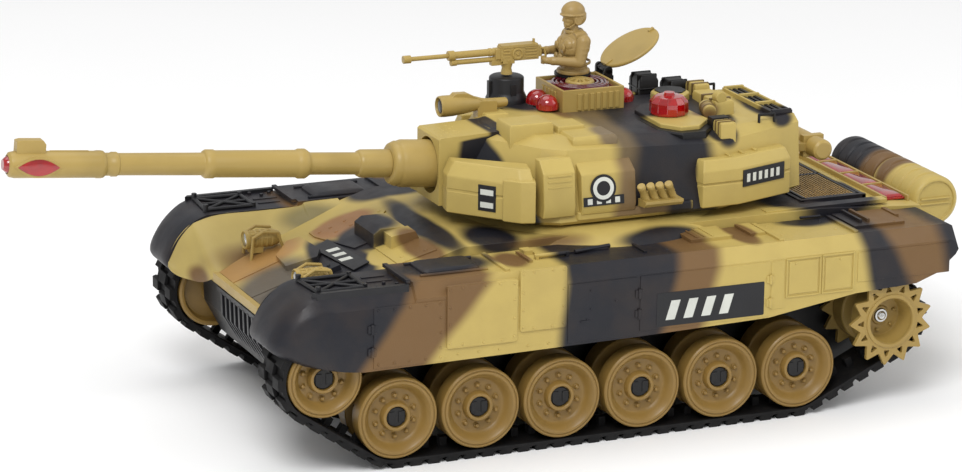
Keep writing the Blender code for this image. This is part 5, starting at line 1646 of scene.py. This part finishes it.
repaint(SLATE_PLASTIC, "turret_motor", "left_gearbox", "right_gearbox", "battery_pack")
repaint(CHROME, "left_drive_motor", "right_drive_motor")
repaint(plastic("green_board", srgb(20, 92, 48), 0.35), "circuit_board")


# ---------------------------------------------------------------- floor and light

# Here lengths are in metres and angles in degrees. A lamp is a name, a place, a size and watts.
FLOOR_REACH = 6
LAMPS = (
    ("key", (1.1, -0.7, 1.5), 1, 23),
    ("fill", (0.7, 1.4, 0.9), 1.4, 6),
    ("top", (-0.5, -0.2, 1.9), 1.6, 10),
)
LAMP_AIM = Vector((0, 0.02, 0.06))
WORLD_STRENGTH = 0.58
# The camera's place, its azimuth, elevation and roll, and its focal length in millimetres.
CAMERA_PLACE = (1.6003, -0.6846, 0.5711)
CAMERA_ANGLES = (66.836, 15.848, 0.577)
CAMERA_FOCAL_LENGTH = 144.45


def shown(name, data):
    """Put new data into the scene as an object."""
    made = bpy.data.objects.new(name, data)
    bpy.context.collection.objects.link(made)
    return made


def stage():
    """A pale floor, three soft lamps, a pale world and the camera."""
    floor = bpy.data.meshes.new("floor")
    floor.from_pydata(
        flat(rectangle(-FLOOR_REACH, FLOOR_REACH, -FLOOR_REACH, FLOOR_REACH), 0), [], [(0, 1, 2, 3)]
    )
    ground = shown("floor", floor)
    pale = Nodes("pale_floor")
    patches = pale.ramp(pale.noise(2, 2).outputs["Fac"], 0.3, 0.7)
    pale.link(pale.mix(patches, (0.97, 0.97, 0.97), (0.95, 0.95, 0.95)), pale.shader.inputs["Base Color"])
    pale.shader.inputs["Roughness"].default_value = 0.6
    floor.materials.append(pale.material)
    for name, place, size, power in LAMPS:
        light = bpy.data.lights.new(name, "AREA")
        light.shape = "DISK"
        light.size = size
        light.energy = power
        lamp = shown(name, light)
        lamp.location = place
        lamp.rotation_euler = (LAMP_AIM - Vector(place)).to_track_quat("-Z", "Y").to_euler()
    world = bpy.data.worlds.new("studio")
    world.use_nodes = True
    background = world.node_tree.nodes["Background"]
    background.inputs["Color"].default_value = (1, 1, 1, 1)
    background.inputs["Strength"].default_value = WORLD_STRENGTH
    bpy.context.scene.world = world
    view = bpy.data.cameras.new("camera")
    view.lens = CAMERA_FOCAL_LENGTH
    view.sensor_width = 36
    view.clip_end = 30
    camera = shown("camera", view)
    azimuth, elevation, roll = (radians(angle) for angle in CAMERA_ANGLES)
    back = Vector((sin(azimuth) * cos(elevation), -cos(azimuth) * cos(elevation), sin(elevation)))
    right = Vector((cos(azimuth), sin(azimuth), 0))
    up = back.cross(right)
    right, up = right * cos(roll) + up * sin(roll), up * cos(roll) - right * sin(roll)
    turn = Matrix((right, up, back)).transposed().to_4x4()
    camera.matrix_world = Matrix.Translation(CAMERA_PLACE) @ turn
    bpy.context.scene.camera = camera
    bpy.context.scene.view_settings.view_transform = "Standard"


stage()
